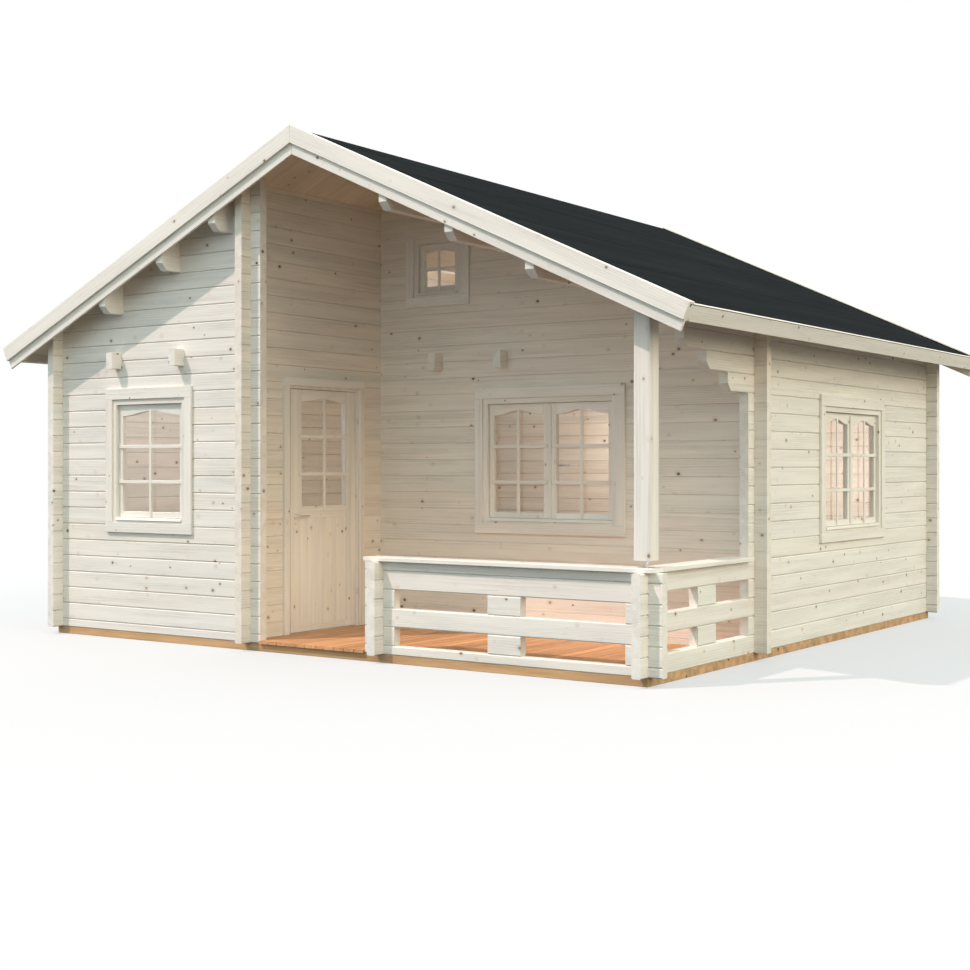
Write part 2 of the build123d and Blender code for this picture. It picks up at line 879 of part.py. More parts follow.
with BuildPart() as recess_window_casing:
    casing(
        recess_window_plane * Location((0, -frame_show, 0)),
        double_sash_width + 2 * frame_show,
        window_sash_height + 2 * frame_show,
    )
recess_window_casing.part.label = "recess_window_casing"

with BuildPart() as right_window_frame:
    frame_and_sash(
        right_window_plane,
        double_sash_width,
        window_sash_height,
        double_panes,
        double_glass_width,
        window_glass_height,
        arch_rise,
    )
right_window_frame.part.label = "right_window_frame"

with BuildPart() as right_window_casing:
    casing(
        right_window_plane * Location((0, -frame_show, 0)),
        double_sash_width + 2 * frame_show,
        window_sash_height + 2 * frame_show,
    )
right_window_casing.part.label = "right_window_casing"

with BuildPart() as gable_window_frame:
    frame_and_sash(
        gable_window_plane,
        gable_sash_width,
        gable_sash_height,
        single_panes,
        gable_glass_width,
        gable_glass_height,
        gable_arch_rise,
    )
gable_window_frame.part.label = "gable_window_frame"

with BuildPart() as gable_window_casing:
    casing(
        gable_window_plane * Location((0, -frame_show, 0)),
        gable_sash_width + 2 * frame_show,
        gable_sash_height + 2 * frame_show,
    )
gable_window_casing.part.label = "gable_window_casing"

with BuildPart() as window_glass:
    panes_of(
        front_window_plane, single_panes, single_glass_width, window_glass_height, arch_rise
    )
    panes_of(
        recess_window_plane, double_panes, double_glass_width, window_glass_height, arch_rise
    )
    panes_of(
        right_window_plane, double_panes, double_glass_width, window_glass_height, arch_rise
    )
    panes_of(
        gable_window_plane, single_panes, gable_glass_width, gable_glass_height, gable_arch_rise
    )
window_glass.part.label = "window_glass"

# Door frame with its stop and threshold, and the boards round it.
door_plane = Plane((porch_face, door_y, 0), x_dir=(0, 1, 0), z_dir=(1, 0, 0))
door_clear_width = door_width + 2 * door_room
door_clear_top = door_top + door_room
with BuildPart() as door_frame:
    with BuildSketch(door_plane):
        with Locations((0, wall_foot)):
            Rectangle(
                door_hole_width - 2 * frame_room,
                door_hole_height - frame_room,
                align=(Align.CENTER, Align.MIN),
            )
        hole(0, floor_top, door_clear_width, door_clear_top - floor_top)
    extrude(amount=-log_thick)
    with BuildSketch(door_plane.offset(-door_thick - door_room)):
        with Locations((0, floor_top)):
            Rectangle(
                door_clear_width,
                door_clear_top - floor_top,
                align=(Align.CENTER, Align.MIN),
            )
        hole(
            0,
            floor_top,
            door_clear_width - 2 * door_stop_width,
            door_clear_top - floor_top - door_stop_width,
        )
    extrude(amount=-door_stop_thick)
door_frame.part.label = "door_frame"

door_frame_show = door_frame_bar - door_casing_lip
with BuildPart() as door_casing:
    casing_inner = door_clear_width + 2 * door_frame_show
    casing_inner_top = door_clear_top + door_frame_show
    with BuildSketch(door_plane):
        with Locations((0, floor_top)):
            Rectangle(
                casing_inner + 2 * door_casing_side,
                casing_inner_top - floor_top + door_casing_head,
                align=(Align.CENTER, Align.MIN),
            )
        hole(0, floor_top, casing_inner, casing_inner_top - floor_top)
    extrude(amount=casing_thick)
door_casing.part.label = "door_casing"

# Door leaf, glazed above and panelled below.
with BuildPart() as door_leaf:
    with BuildSketch(door_plane):
        with Locations((0, door_foot)):
            Rectangle(door_width, door_height, align=(Align.CENTER, Align.MIN))
        with Locations((0, wall_foot + door_glass_foot)):
            add_arched(door_glass_width, door_glass_height, door_arch_rise, Mode.SUBTRACT)
    extrude(amount=-door_thick)
    with BuildSketch(door_plane):
        with Locations((0, wall_foot + door_panel_foot)):
            Rectangle(door_panel_width, door_panel_height, align=(Align.CENTER, Align.MIN))
    extrude(amount=-door_panel_sink, mode=Mode.SUBTRACT)
    with BuildSketch(door_plane.offset(-door_thick)):
        with Locations((0, wall_foot + door_panel_foot)):
            Rectangle(door_panel_width, door_panel_height, align=(Align.CENTER, Align.MIN))
    extrude(amount=door_panel_sink, mode=Mode.SUBTRACT)
door_leaf.part.label = "door_leaf"

with BuildPart() as door_glass:
    with BuildSketch(door_plane.offset(glass_thick / 2 - door_thick / 2)):
        with Locations((0, wall_foot + door_glass_foot + glass_room)):
            add_arched(
                door_glass_width - 2 * glass_room,
                door_glass_height - 2 * glass_room,
                door_arch_rise,
                Mode.ADD,
            )
    extrude(amount=-glass_thick)
door_glass.part.label = "door_glass"

# Hinges: a pin stands on the frame's half, and the leaf's half turns on it.
hinge_x = porch_face + hinge_radius
hinge_y = door_y + door_width / 2 + door_room / 2
hinge_feet = (door_foot + hinge_inset, door_top - hinge_inset)
with BuildPart() as hinge_pins:
    for foot in hinge_feet:
        with BuildSketch(Plane((hinge_x, hinge_y, foot))):
            Circle(hinge_radius)
            with Locations((-hinge_radius, 0)):
                Rectangle(hinge_leaf_thick, door_frame_show, align=(Align.MIN, Align.MIN))
        extrude(amount=hinge_height / 2)
        with BuildSketch(Plane((hinge_x, hinge_y, foot))):
            Circle(hinge_pin_radius)
        extrude(amount=hinge_height)
hinge_pins.part.label = "hinge_pins"

with BuildPart() as hinge_leaves:
    for foot in hinge_feet:
        with BuildSketch(Plane((hinge_x, hinge_y, foot + hinge_height / 2 + hinge_seat_room))):
            Circle(hinge_radius)
            with Locations((-hinge_radius, 0)):
                Rectangle(hinge_leaf_thick, hinge_leaf_width, align=(Align.MIN, Align.MAX))
            Circle(hinge_pin_radius + hinge_pin_room, mode=Mode.SUBTRACT)
        extrude(amount=hinge_height / 2 - hinge_seat_room)
hinge_leaves.part.label = "hinge_leaves"

# Lever handles on both faces of the leaf.
handle_y = door_y - door_width / 2 + handle_edge
with BuildPart() as door_handle:
    for face, way in ((porch_face, 1), (porch_face - door_thick, -1)):
        with BuildSketch(facing_right(face)):
            with Locations((handle_y, wall_foot + handle_height)):
                Circle(handle_rose_radius)
        extrude(amount=way * handle_rose_thick)
        with BuildSketch(facing_right(face)):
            with Locations((handle_y, wall_foot + handle_height)):
                Circle(handle_radius)
        extrude(amount=way * (handle_reach + handle_radius))
        with BuildSketch(facing_front(handle_y)):
            with Locations((face + way * handle_reach, wall_foot + handle_height)):
                Circle(handle_radius)
        extrude(amount=-handle_length)
door_handle.part.label = "door_handle"

pieces = [
    front_wall,
    recess_wall,
    back_wall,
    left_wall,
    right_wall,
    porch_wall_front,
    porch_wall_rear,
    porch_wall_over,
    base_beams,
    room_floor,
    terrace_deck,
    front_railing,
    rail_blocks,
    rail_cap,
    post_foot,
    corner_post,
    loft_beams,
    left_purlins,
    right_purlins,
    ridge_beam,
    left_roof_boards,
    right_roof_boards,
    left_roof_felt,
    right_roof_felt,
    front_verge,
    back_verge,
    fascias,
    front_window_frame,
    front_window_casing,
    recess_window_frame,
    recess_window_casing,
    right_window_frame,
    right_window_casing,
    gable_window_frame,
    gable_window_casing,
    window_glass,
    door_frame,
    door_casing,
    door_leaf,
    door_glass,
    hinge_pins,
    hinge_leaves,
    door_handle,
]

os.makedirs("parts", exist_ok=True)
for piece in pieces:
    export_step(piece.part, f"parts/{piece.part.label}.step")
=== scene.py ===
"""Looks of a log cabin with a covered corner terrace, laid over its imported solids."""

import math
import random

import bmesh
import bpy
from bpy.props import FloatProperty, FloatVectorProperty, IntProperty, PointerProperty
from mathutils import Euler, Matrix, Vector


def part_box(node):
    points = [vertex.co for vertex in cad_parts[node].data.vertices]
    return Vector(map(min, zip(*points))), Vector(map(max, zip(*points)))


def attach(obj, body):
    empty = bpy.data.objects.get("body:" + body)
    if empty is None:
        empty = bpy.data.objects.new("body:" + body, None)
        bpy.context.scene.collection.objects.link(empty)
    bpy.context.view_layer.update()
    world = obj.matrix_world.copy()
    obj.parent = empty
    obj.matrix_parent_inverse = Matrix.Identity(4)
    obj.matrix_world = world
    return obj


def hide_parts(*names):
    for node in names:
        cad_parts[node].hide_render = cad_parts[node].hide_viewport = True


bl_info = {
    "name": "Log cabin looks",
    "version": (1, 0, 0),
    "blender": (4, 5, 0),
    "location": "View3D > Sidebar > Cabin",
    "description": "Dresses the log cabin: eased logs, boards, roof felt, window bars and a studio",
    "category": "Object",
}

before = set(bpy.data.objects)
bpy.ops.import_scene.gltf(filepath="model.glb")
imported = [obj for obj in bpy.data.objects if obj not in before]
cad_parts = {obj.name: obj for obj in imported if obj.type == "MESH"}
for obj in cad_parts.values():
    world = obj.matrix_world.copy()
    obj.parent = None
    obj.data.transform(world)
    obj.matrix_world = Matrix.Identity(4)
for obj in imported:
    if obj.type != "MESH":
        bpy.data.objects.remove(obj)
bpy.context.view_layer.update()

MM = 0.001
AXES = X, Y, Z = Vector((1, 0, 0)), Vector((0, 1, 0)), Vector((0, 0, 1))
ALIGNED = 0.995  # cosine from which an edge counts as running along a direction
SHARP = math.radians(30)  # angle from which an edge is eased


def linear(code):
    """Linear RGB of an sRGB hex colour."""
    parts = [int(code[i : i + 2], 16) / 255 for i in (0, 2, 4)]
    return tuple(p / 12.92 if p <= 0.04045 else ((p + 0.055) / 1.055) ** 2.4 for p in parts)


def length(name, description, mm):
    """A size that a user may change, in metres."""
    return FloatProperty(name=name, description=description, default=mm * MM, min=0, unit="LENGTH")


def colour(name, description, code):
    """A colour that a user may change."""
    return FloatVectorProperty(
        name=name, description=description, default=linear(code), subtype="COLOR", min=0, max=1
    )


class CabinWood(bpy.types.PropertyGroup):
    """Sizes and colours of the timber."""

    groove: length("Log groove", "Chamfer along each log's long edges", 7.5)
    sheltered: length("Terrace groove", "Chamfer on the logs round the terrace", 2.5)
    eased: length("Eased edge", "Rounding of sawn boards", 2.5)
    ring: length("Ring spacing", "Distance between growth rings, drawn wide enough to show", 17)
    streak: length("Streak width", "Width of fine grain streaks, drawn wide enough to show", 9)
    knot: length("Knot", "Largest radius of a knot", 15)
    knot_gap: length("Knot distance", "Typical distance between knots", 118)
    deck_board: length("Deck board", "Width of a terrace board with its gap", 95)
    deck_gap: length("Deck gap", "Gap between terrace boards", 5)
    floor_board: length("Floor board", "Width of a board of the room floor", 121)
    floor_gap: length("Floor gap", "Gap between boards of the room floor", 0.4)
    white: colour("Whitewash", "Palest logs", "F0EBE2")
    cream: colour("Cream logs", "Logs where the wash is thinner", "EEE7DB")
    rose: colour("Rosy logs", "Logs with a rosy heart", "EFE8DF")
    grey: colour("Grey logs", "Logs with a greenish grey cast", "ECE9E0")
    knot_brown: colour("Knot", "Heart of a knot", "443A31")
    knot_rim: colour("Knot rim", "Wood round a knot", "C4A17C")
    bare: colour("Bare pine", "Roof boards and room floor", "E9DAC3")
    deck: colour("Decking", "Oiled terrace boards", "E3A673")
    base: colour("Base beams", "Impregnated timber under the walls", "D8AC7C")


class CabinRoof(bpy.types.PropertyGroup):
    """Sizes and colours of the roof."""

    board: length("Board width", "Width of a roof board", 118)
    strip: length("Felt strip", "Width of felt that shows between two laps", 900)
    felt_thick: length("Felt", "Thickness of one layer of felt", 2)
    lap: length("Lap", "How far a strip reaches under the one above it", 90)
    lap_lift: length("Lap lift", "How far the lower edge of a strip stands up", 1.2)
    cap: length("Ridge strip", "Width of the ridge strip on each slope", 260)
    batten: length("Eave batten", "Width of the slim batten along the eave", 26)
    granule: length("Granule", "Size of the mineral grit, drawn wide enough to show", 12)
    felt: colour("Felt", "Charcoal mineral felt", "161B1D")


class CabinJoinery(bpy.types.PropertyGroup):
    """Sizes and colours of windows and doors."""

    bar: length("Bar width", "Width of a lattice bar", 28)
    bar_depth: length("Bar depth", "Thickness of the lattice on the sash", 9)
    bar_reach: length("Bar reach", "How far the lattice laps over the sash", 38)
    reveal: length("Reveal", "Depth from the sash's face to the glass", 20.6)
    gap: length("Sash gap", "Gap round a sash", 2)
    sill: length("Sill strip", "Height of the sloped strip at a frame's foot", 22)
    strip: length("Meeting strip", "Width of the strip where two sashes meet", 30)
    bar_shares: FloatVectorProperty(
        name="Cross bars",
        description="Heights of the two cross bars, as shares of the pane",
        default=(0.296, 0.647),
        size=2,
    )
    gable_share: FloatProperty(
        name="Gable cross bar",
        description="Height of the gable window's cross bar, as a share of the pane",
        default=0.47,
        subtype="FACTOR",
    )
    panel: length("Panel board", "How far the boards stand out of the door's panel", 5)
    panel_boards: IntProperty(
        name="Door boards", description="Number of boards in the door's panel", default=6
    )
    steel: colour("Steel", "Zinc plated fittings", "CFD0CF")
    nickel: colour("Nickel", "Door handle", "FAF6F0")


class CabinStage(bpy.types.PropertyGroup):
    """Light, floor and camera."""

    floor: colour("Floor", "Pale studio floor", "FFFFFF")
    bounce: colour("Bounce", "Tone of the light that the floor throws back", "1C1C1C")
    sky: colour("Fill", "Soft light from all round", "E9FCFF")
    glow: colour("Right fill", "Soft light from low on the right", "F6EABF")
    sun: colour("Key light", "Key light from the left", "FFE9E3")
    side: colour("Side light", "Wide, soft sun from the right", "FFF0D6")
    lamp: colour("Room light", "Warm light in the main room", "FFE8D6")
    white_lamp: colour("Front room light", "Light in the front room and loft", "FFF9FB")


class CabinSettings(bpy.types.PropertyGroup):
    """All settings of the cabin."""

    wood: PointerProperty(type=CabinWood)
    roof: PointerProperty(type=CabinRoof)
    joinery: PointerProperty(type=CabinJoinery)
    stage: PointerProperty(type=CabinStage)


def settings():
    """The cabin's settings in this scene."""
    return bpy.context.scene.cabin


# Settings of nodes that come up again and again.
SOFT = {"interpolation_type": "SMOOTHSTEP"}
BLEND = {"data_type": "RGBA"}
TIMES = {"data_type": "RGBA", "blend_type": "MULTIPLY"}


def fill(tree, node, values):
    """Sets a node's sockets, by name or in their order; a value that is a socket is linked."""
    for name, value in values.items() if isinstance(values, dict) else enumerate(values):
        if isinstance(value, bpy.types.NodeSocket):
            tree.links.new(value, node.inputs[name])
        else:
            node.inputs[name].default_value = value


def put(tree, kind, values=(), out=0, stops=None, **own):
    """Adds one node with its own settings, fills its sockets or ramp, and returns an output."""
    made = tree.nodes.new("ShaderNode" + kind)
    for name, value in own.items():
        setattr(made, name, value)
    fill(tree, made, values)
    if stops:
        ramp = made.color_ramp.elements
        while len(ramp) < len(stops):
            ramp.new(1)
        for element, (place, shade) in zip(ramp, stops):
            element.position = place
            element.color = (*shade, 1)
    return made.outputs[out]


def new_material(name):
    """An empty material with its main shader."""
    made = bpy.data.materials.new(name)
    made.use_nodes = True
    return made, made.node_tree, made.node_tree.nodes["Principled BSDF"]


def pine(name, tones, dark=0.12, knots=1.0, rough=0.6, blotch=0.05):
    """Planed pine: long grain with soft rings, fine streaks, and knots with a tan rim.

    The eye gets a matt, pale face whose tone changes a little from board to board, and a dark
    line in the groove where two logs meet, partly dust and partly painted shade.
    """
    found = bpy.data.materials.get(name)
    if found:
        return found
    wood = settings().wood
    made, tree, main = new_material(name)
    at = put(tree, "Attribute", out="Vector", attribute_name="grain_at")
    tone, seam = (
        put(tree, "Attribute", out="Fac", attribute_name=layer) for layer in ("board_tone", "seam")
    )
    # Rings, streaks and knots are drawn out along the grain.
    drawn_out, hair, knot_at = (
        put(tree, "VectorMath", (at, (pull, 1, 1)), operation="MULTIPLY")
        for pull in (1 / 14, 1 / 16, 0.8)
    )
    wave = 2 * math.pi / 20  # a wave texture of scale 1 repeats after this length
    rings = put(
        tree,
        "TexWave",
        {"Vector": drawn_out, "Scale": wave / wood.ring, "Distortion": 6, "Detail": 2,
         "Detail Scale": 0.5},
        "Fac",
        wave_type="RINGS",
        rings_direction="X",
        wave_profile="SAW",
    )
    streaks = put(tree, "TexNoise", {"Vector": hair, "Scale": 1 / wood.streak, "Detail": 3})
    patches = put(
        tree, "TexNoise", {"Vector": drawn_out, "Scale": 1 / (8 * wood.streak), "Detail": 2}
    )
    figure = put(tree, "TexNoise", {"Vector": drawn_out, "Scale": 1 / (5 * wood.ring)})
    ring_part = put(tree, "Math", (rings, 0.45), operation="MULTIPLY")
    grain = put(tree, "Math", (streaks, 0.75, ring_part), operation="MULTIPLY_ADD")
    # A range takes a value, its two ends and what they become.
    figured = put(tree, "MapRange", (figure, 0.42, 0.62, 1 - 0.35 * dark, 1 - 1.6 * dark), **SOFT)
    grain_dark = put(tree, "MapRange", (grain, 0.3, 0.9, 1.02, figured))
    patch_dark = put(tree, "MapRange", (patches, 0.3, 0.7, 1 + blotch, 1 - blotch))
    shade = put(tree, "Math", (grain_dark, patch_dark), operation="MULTIPLY")
    stops = [(i / (len(tones) - 1), wash) for i, wash in enumerate(tones)]
    face = put(tree, "ValToRGB", (tone,), stops=stops)
    washed = put(tree, "Mix", {0: 1.0, 6: face, 7: shade}, 2, **TIMES)
    cells = put(tree, "TexVoronoi", {"Vector": knot_at, "Scale": 1 / wood.knot_gap}).node.outputs
    away = cells["Distance"]
    draw, draw_dark = put(tree, "SeparateColor", (cells["Color"],)).node.outputs[:2]
    widest = knots * wood.knot / wood.knot_gap
    reach = put(tree, "MapRange", (draw, 0, 1, 0.3 * widest, widest))
    inner, outer = (
        put(tree, "Math", (reach, times), operation="MULTIPLY") for times in (0.6, 2.2)
    )
    rim = put(tree, "MapRange", (away, reach, outer, 0.28, 0))
    depth = put(tree, "MapRange", (draw_dark, 0, 1, 0.55, 1))
    heart = put(tree, "MapRange", (away, inner, reach, depth, 0))
    tan = put(tree, "Mix", {0: rim, 6: washed, 7: (*wood.knot_rim, 1)}, 2, **BLEND)
    knotted = put(tree, "Mix", {0: heart, 6: tan, 7: (*wood.knot_brown, 1)}, 2, **BLEND)
    # Painted shade with dust: each chamfer darkens towards the joint between two logs.
    groove_dust_and_shade = put(tree, "MapRange", (seam, 0.3, 1, 1, 0.8), **SOFT)
    grooved = put(tree, "Mix", {0: 1.0, 6: knotted, 7: groove_dust_and_shade}, 2, **TIMES)
    shine = put(tree, "MapRange", (streaks, 0.3, 0.7, rough - 0.05, rough + 0.08))
    relief = put(tree, "Bump", {"Height": grain, "Strength": 0.3, "Distance": 0.8 * MM})
    fill(tree, main, {"Base Color": grooved, "Roughness": shine, "Normal": relief})
    return made


def whitewashed_pine():
    """Squared, planed logs under a thin white wash: pale, with the grain showing through."""
    wood = settings().wood
    return pine("whitewashed_planed_pine", (wood.cream, wood.white, wood.rose, wood.grey), 0.11)


def shade_tinted_pine():
    """The same logs round the terrace, in shade: the wash is tinted warmer as painted bounce light.
    """
    wood = settings().wood
    # Painted light: a warm tint on the shaded terrace walls, for light bounced off the deck.
    warm = Vector((0.99, 0.96, 0.92))
    tones = [Vector(tone) * warm for tone in (wood.cream, wood.white, wood.rose, wood.grey)]
    return pine("whitewashed_sheltered_pine", tones, 0.11)


def whitewashed_boards():
    """Planed, whitewashed boards and joinery: smoother than the logs, with smaller knots."""
    wood = settings().wood
    return pine("whitewashed_pine_boards", (wood.white, wood.cream, wood.white), 0.09, 0.9, 0.55)


def bare_pine():
    """Planed pine without a finish, under the roof and on the room floor: honey toned."""
    bare = Vector(settings().wood.bare)
    return pine("bare_planed_pine", (bare, bare * 0.95, bare * 1.03), 0.12, 0.9)


def oiled_decking():
    """Oiled pine decking: warm, with a strong grain."""
    deck = Vector(settings().wood.deck)
    return pine("oiled_pine_decking", (deck, deck * 0.82, deck * 1.14), 0.32, 0.5, 0.5, 0.12)


def impregnated_timber():
    """Sawn, impregnated beams: browner and blotchier than the walls."""
    base = Vector(settings().wood.base)
    return pine("impregnated_pine_beams", (base, base * 0.88, base * 1.1), 0.3, 1.3, 0.7, 0.2)


def roof_felt():
    """Mineral bitumen felt, rolled: charcoal grit, dull, with faint streaks along the roll."""
    name = "mineral_bitumen_felt"
    found = bpy.data.materials.get(name)
    if found:
        return found
    roof = settings().roof
    made, tree, main = new_material(name)
    at = put(tree, "Attribute", out="Vector", attribute_name="grain_at")
    along = put(tree, "VectorMath", (at, (1 / 9, 1, 1)), operation="MULTIPLY")
    mottle = put(tree, "TexNoise", {"Vector": along, "Scale": 1 / (180 * MM), "Detail": 4})
    grit = put(tree, "TexNoise", {"Vector": at, "Scale": 1 / roof.granule, "Detail": 2})
    felt = Vector(roof.felt)
    stops = [(0.3, felt * 0.75), (0.52, felt), (0.75, felt * 1.4)]
    shade = put(tree, "ValToRGB", (mottle,), stops=stops)
    fleck = put(tree, "MapRange", (grit, 0.35, 0.7, 0.7, 1.4))
    speckled = put(tree, "Mix", {0: 1.0, 6: shade, 7: fleck}, 2, **TIMES)
    relief = put(tree, "Bump", {"Height": grit, "Strength": 0.6, "Distance": 1.5 * MM})
    fill(tree, main, {"Base Color": speckled, "Normal": relief})
    fill(tree, main, {"Roughness": 0.95, "Specular IOR Level": 0.03})
    return made


def clear_glass():
    """Float glass: smooth, clear, lets lamps through to the room behind."""
    name = "clear_float_glass"
    found = bpy.data.materials.get(name)
    if found:
        return found
    made, tree, main = new_material(name)
    fill(tree, main, {"Base Color": (*linear("FAFCFB"), 1), "Roughness": 0.02})
    fill(tree, main, {"IOR": 1.45, "Transmission Weight": 1})
    through = put(tree, "BsdfTransparent", {"Color": (*linear("F6F8F7"), 1)})
    shadow = put(tree, "LightPath", out="Is Shadow Ray")
    both = put(tree, "MixShader", (shadow, main.outputs[0], through))
    fill(tree, tree.nodes["Material Output"], {"Surface": both})
    return made


def satin_metal(name, tone):
    """A satin grey metal with a faint cloud."""
    found = bpy.data.materials.get(name)
    if found:
        return found
    made, tree, main = new_material(name)
    place = put(tree, "TexCoord", out="Object")
    cloud = put(tree, "TexNoise", {"Vector": place, "Scale": 1 / (14 * MM), "Detail": 3})
    metal = Vector(tone)
    tint = put(tree, "ValToRGB", (cloud,), stops=[(0.3, metal * 0.8), (0.7, metal)])
    dull = put(tree, "MapRange", (cloud, 0.3, 0.7, 0.28, 0.42))
    fill(tree, main, {"Base Color": tint, "Metallic": 1, "Roughness": dull})
    return made


def zinc_steel():
    """Zinc plated steel: grey, a little cloudy."""
    return satin_metal("zinc_plated_steel", settings().joinery.steel)


def nickel_steel():
    """Nickel plated, brushed steel: bright, takes up the tone of what is round it."""
    return satin_metal("brushed_nickel_plated_steel", settings().joinery.nickel)


def painted_steel():
    """Powder-coated steel in the joinery's cream: a soft sheen with a faint orange peel."""
    made, tree, main = new_material("powder_coated_steel")
    place = put(tree, "TexCoord", out="Object")
    peel = put(tree, "TexNoise", {"Vector": place, "Scale": 1 / (6 * MM), "Detail": 2})
    cream = Vector(settings().wood.cream)
    coat = put(tree, "ValToRGB", (peel,), stops=[(0.3, cream * 0.86), (0.7, cream * 0.94)])
    relief = put(tree, "Bump", {"Height": peel, "Strength": 0.2, "Distance": 0.3 * MM})
    fill(tree, main, {"Base Color": coat, "Roughness": 0.42, "Normal": relief})
    return made


def finish(node, material):
    """Gives a node that stays as it is a better material."""
    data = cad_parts[node].data
    data.materials.clear()
    data.materials.append(material)


def shape_of(node):
    """A node's solids with their flat faces whole again."""
    mesh = bmesh.new()
    mesh.from_mesh(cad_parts[node].data)
    bmesh.ops.remove_doubles(mesh, verts=mesh.verts, dist=0.02 * MM)
    bmesh.ops.dissolve_limit(
        mesh, angle_limit=math.radians(1), verts=mesh.verts, edges=mesh.edges
    )
    bmesh.ops.recalc_face_normals(mesh, faces=mesh.faces)
    return mesh


def bodies_of(mesh):
    """The separate bodies of a mesh, as lists of faces."""
    mesh.faces.index_update()
    left = {face.index: face for face in mesh.faces}
    found = []
    while left:
        todo, body = [left.pop(min(left))], []
        while todo:
            face = todo.pop()
            body.append(face)
            for edge in face.edges:
                for other in edge.link_faces:
                    if other.index in left:
                        todo.append(left.pop(other.index))
        found.append(body)
    return found


def box_of(faces):
    """Low and high corner of one body."""
    points = [vert.co for face in faces for vert in face.verts]
    return [Vector([pick(co[axis] for co in points) for axis in range(3)]) for pick in (min, max)]


def narrowest(faces, along):
    """Smallest distance between two edges of one face that run along a direction side by side."""
    least = math.inf
    for face in faces:
        runs = []
        for edge in face.edges:
            ends = (vert.co for vert in edge.verts)
            first, last = sorted(ends, key=lambda point: point.dot(along))
            if (last - first).normalized().dot(along) > ALIGNED:
                start, stop = first.dot(along), last.dot(along)
                for other_start, other_stop, line in runs:
                    if min(stop, other_stop) - max(start, other_start) > MM:
                        least = min(least, (first - along * start - line).length)
                runs.append((start, stop, first - along * start))
    return least


def ease(mesh, width, along=None, steps=1, seams=None):
    """Takes the sharpness off outer edges, or only off those that run along a direction.

    Where seams is given, it says which new faces lie in a groove between two logs. Along a
    direction the width leaves some of the narrowest face, so that two chamfers never cross.
    """
    face_share = 0.7
    level, sliver = 0.3, 0.2 * width  # faces steeper or lower than these aren't part of a groove
    mesh.edges.index_update()
    seam = mesh.loops.layers.float.new("seam")
    tag = mesh.faces.layers.int.new("solid")
    count = 0
    for count, faces in enumerate(bodies_of(mesh), 1):
        for face in faces:
            face[tag] = count
    for body in range(1, count + 1):
        edges = {edge for face in mesh.faces if face[tag] == body for edge in face.edges}
        sharp = []
        for edge in edges:
            if not edge.is_manifold or not edge.is_convex:
                continue
            if edge.calc_face_angle() < SHARP:
                continue
            way = (edge.verts[1].co - edge.verts[0].co).normalized()
            if along is None or abs(way.dot(along)) > ALIGNED:
                sharp.append(edge)
        if not sharp:
            continue
        sharp.sort(key=lambda edge: edge.index)
        faces = [face for face in mesh.faces if face[tag] == body]
        made = bmesh.ops.bevel(
            mesh,
            geom=sharp,
            offset=min(width, face_share * narrowest(faces, along)) if along else width,
            segments=steps,
            profile=0.5,
            affect="EDGES",
            clamp_overlap=True,
        )["faces"]
        for face in made if seams else ():
            face.normal_update()
            heights = [vert.co.z for vert in face.verts]
            low, high = min(heights), max(heights)
            if abs(face.normal.z) < level or high - low < sliver or not seams(face):
                continue
            # The share grows towards the joint, where the wood is darkened with dust and painted
            # shade.
            for loop in face.loops:
                share = (loop.vert.co.z - low) / (high - low)
                loop[seam] = share if face.normal.z > 0 else 1 - share


def lay_grain(mesh, seed, along=None):
    """Gives each board a tone and its own run of grain, along a direction or its longest edge."""
    draw = random.Random(seed)
    off_heart = 80 * MM  # how far from a board's middle the heart of its tree may lie
    at = mesh.verts.layers.float_vector.new("grain_at")
    tone = mesh.verts.layers.float.new("board_tone")
    boards = bodies_of(mesh)
    tag = mesh.faces.layers.int.get("solid")
    if tag:
        # Easing shuffles the faces anew each run, so the draws keep to the order of the solids.
        boards.sort(key=lambda faces: max(face[tag] for face in faces))
    for faces in boards:
        way = along
        if way is None:
            edges = (edge for face in faces for edge in face.edges)
            longest = max(edges, key=lambda edge: edge.calc_length())
            way = (longest.verts[1].co - longest.verts[0].co).normalized()
            way *= math.copysign(1, max(way, key=abs))
        side = way.orthogonal().normalized()
        up = way.cross(side)
        verts = list(dict.fromkeys(vert for face in faces for vert in face.verts))
        middle = sum((vert.co for vert in verts), Vector()) / len(verts)
        heart_side = middle.dot(side) + draw.uniform(-off_heart, off_heart)
        heart_up = middle.dot(up) + draw.uniform(-off_heart, off_heart)
        start = draw.uniform(-40, 40)
        shade = draw.random()
        for vert in verts:
            co = vert.co
            vert[at] = co.dot(way) + start, co.dot(side) - heart_side, co.dot(up) - heart_up
            vert[tone] = shade


def piece(mesh, name, material, body="cabin", nodes=()):
    """Turns a mesh into a finished piece that rides on a body and stands for its nodes."""
    data = bpy.data.meshes.new(name)
    bmesh.ops.dissolve_degenerate(mesh, dist=0.005 * MM, edges=mesh.edges)
    mesh.to_mesh(data)
    mesh.free()
    for layer in ("custom_normal", "solid"):
        stored = data.attributes.get(layer)
        if stored:
            data.attributes.remove(stored)
    data.shade_flat()
    made = bpy.data.objects.new(name, data)
    bpy.context.scene.collection.objects.link(made)
    data.materials.append(material)
    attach(made, body)
    if nodes:
        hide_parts(*nodes)


def timber(
    mesh, seed, name, width, edges=None, grain=None, steps=1, seams=None,
    surface=None, body="cabin", nodes=(),
):
    """Eases a wooden mesh, lays its grain and makes it a piece, whitewashed if nothing is said."""
    ease(mesh, width, edges, steps, seams)
    lay_grain(mesh, seed, grain)
    piece(mesh, name, surface or whitewashed_boards(), body, nodes)


def bar(mesh, spans):
    """Adds one box from its two places on each axis."""
    made = bmesh.ops.create_cube(mesh, size=1)["verts"]
    for axis, places in spans.items():
        low, high = min(places), max(places)
        for vert in made:
            vert.co[axis] = (low + high) / 2 + vert.co[axis] * (high - low)


def part_at(mesh, along, places):
    """Draws cuts across a solid without taking anything away."""
    for place in places:
        whole = [*mesh.verts, *mesh.edges, *mesh.faces]
        bmesh.ops.bisect_plane(
            mesh, geom=whole, dist=0.001 * MM, plane_co=along * place, plane_no=along
        )


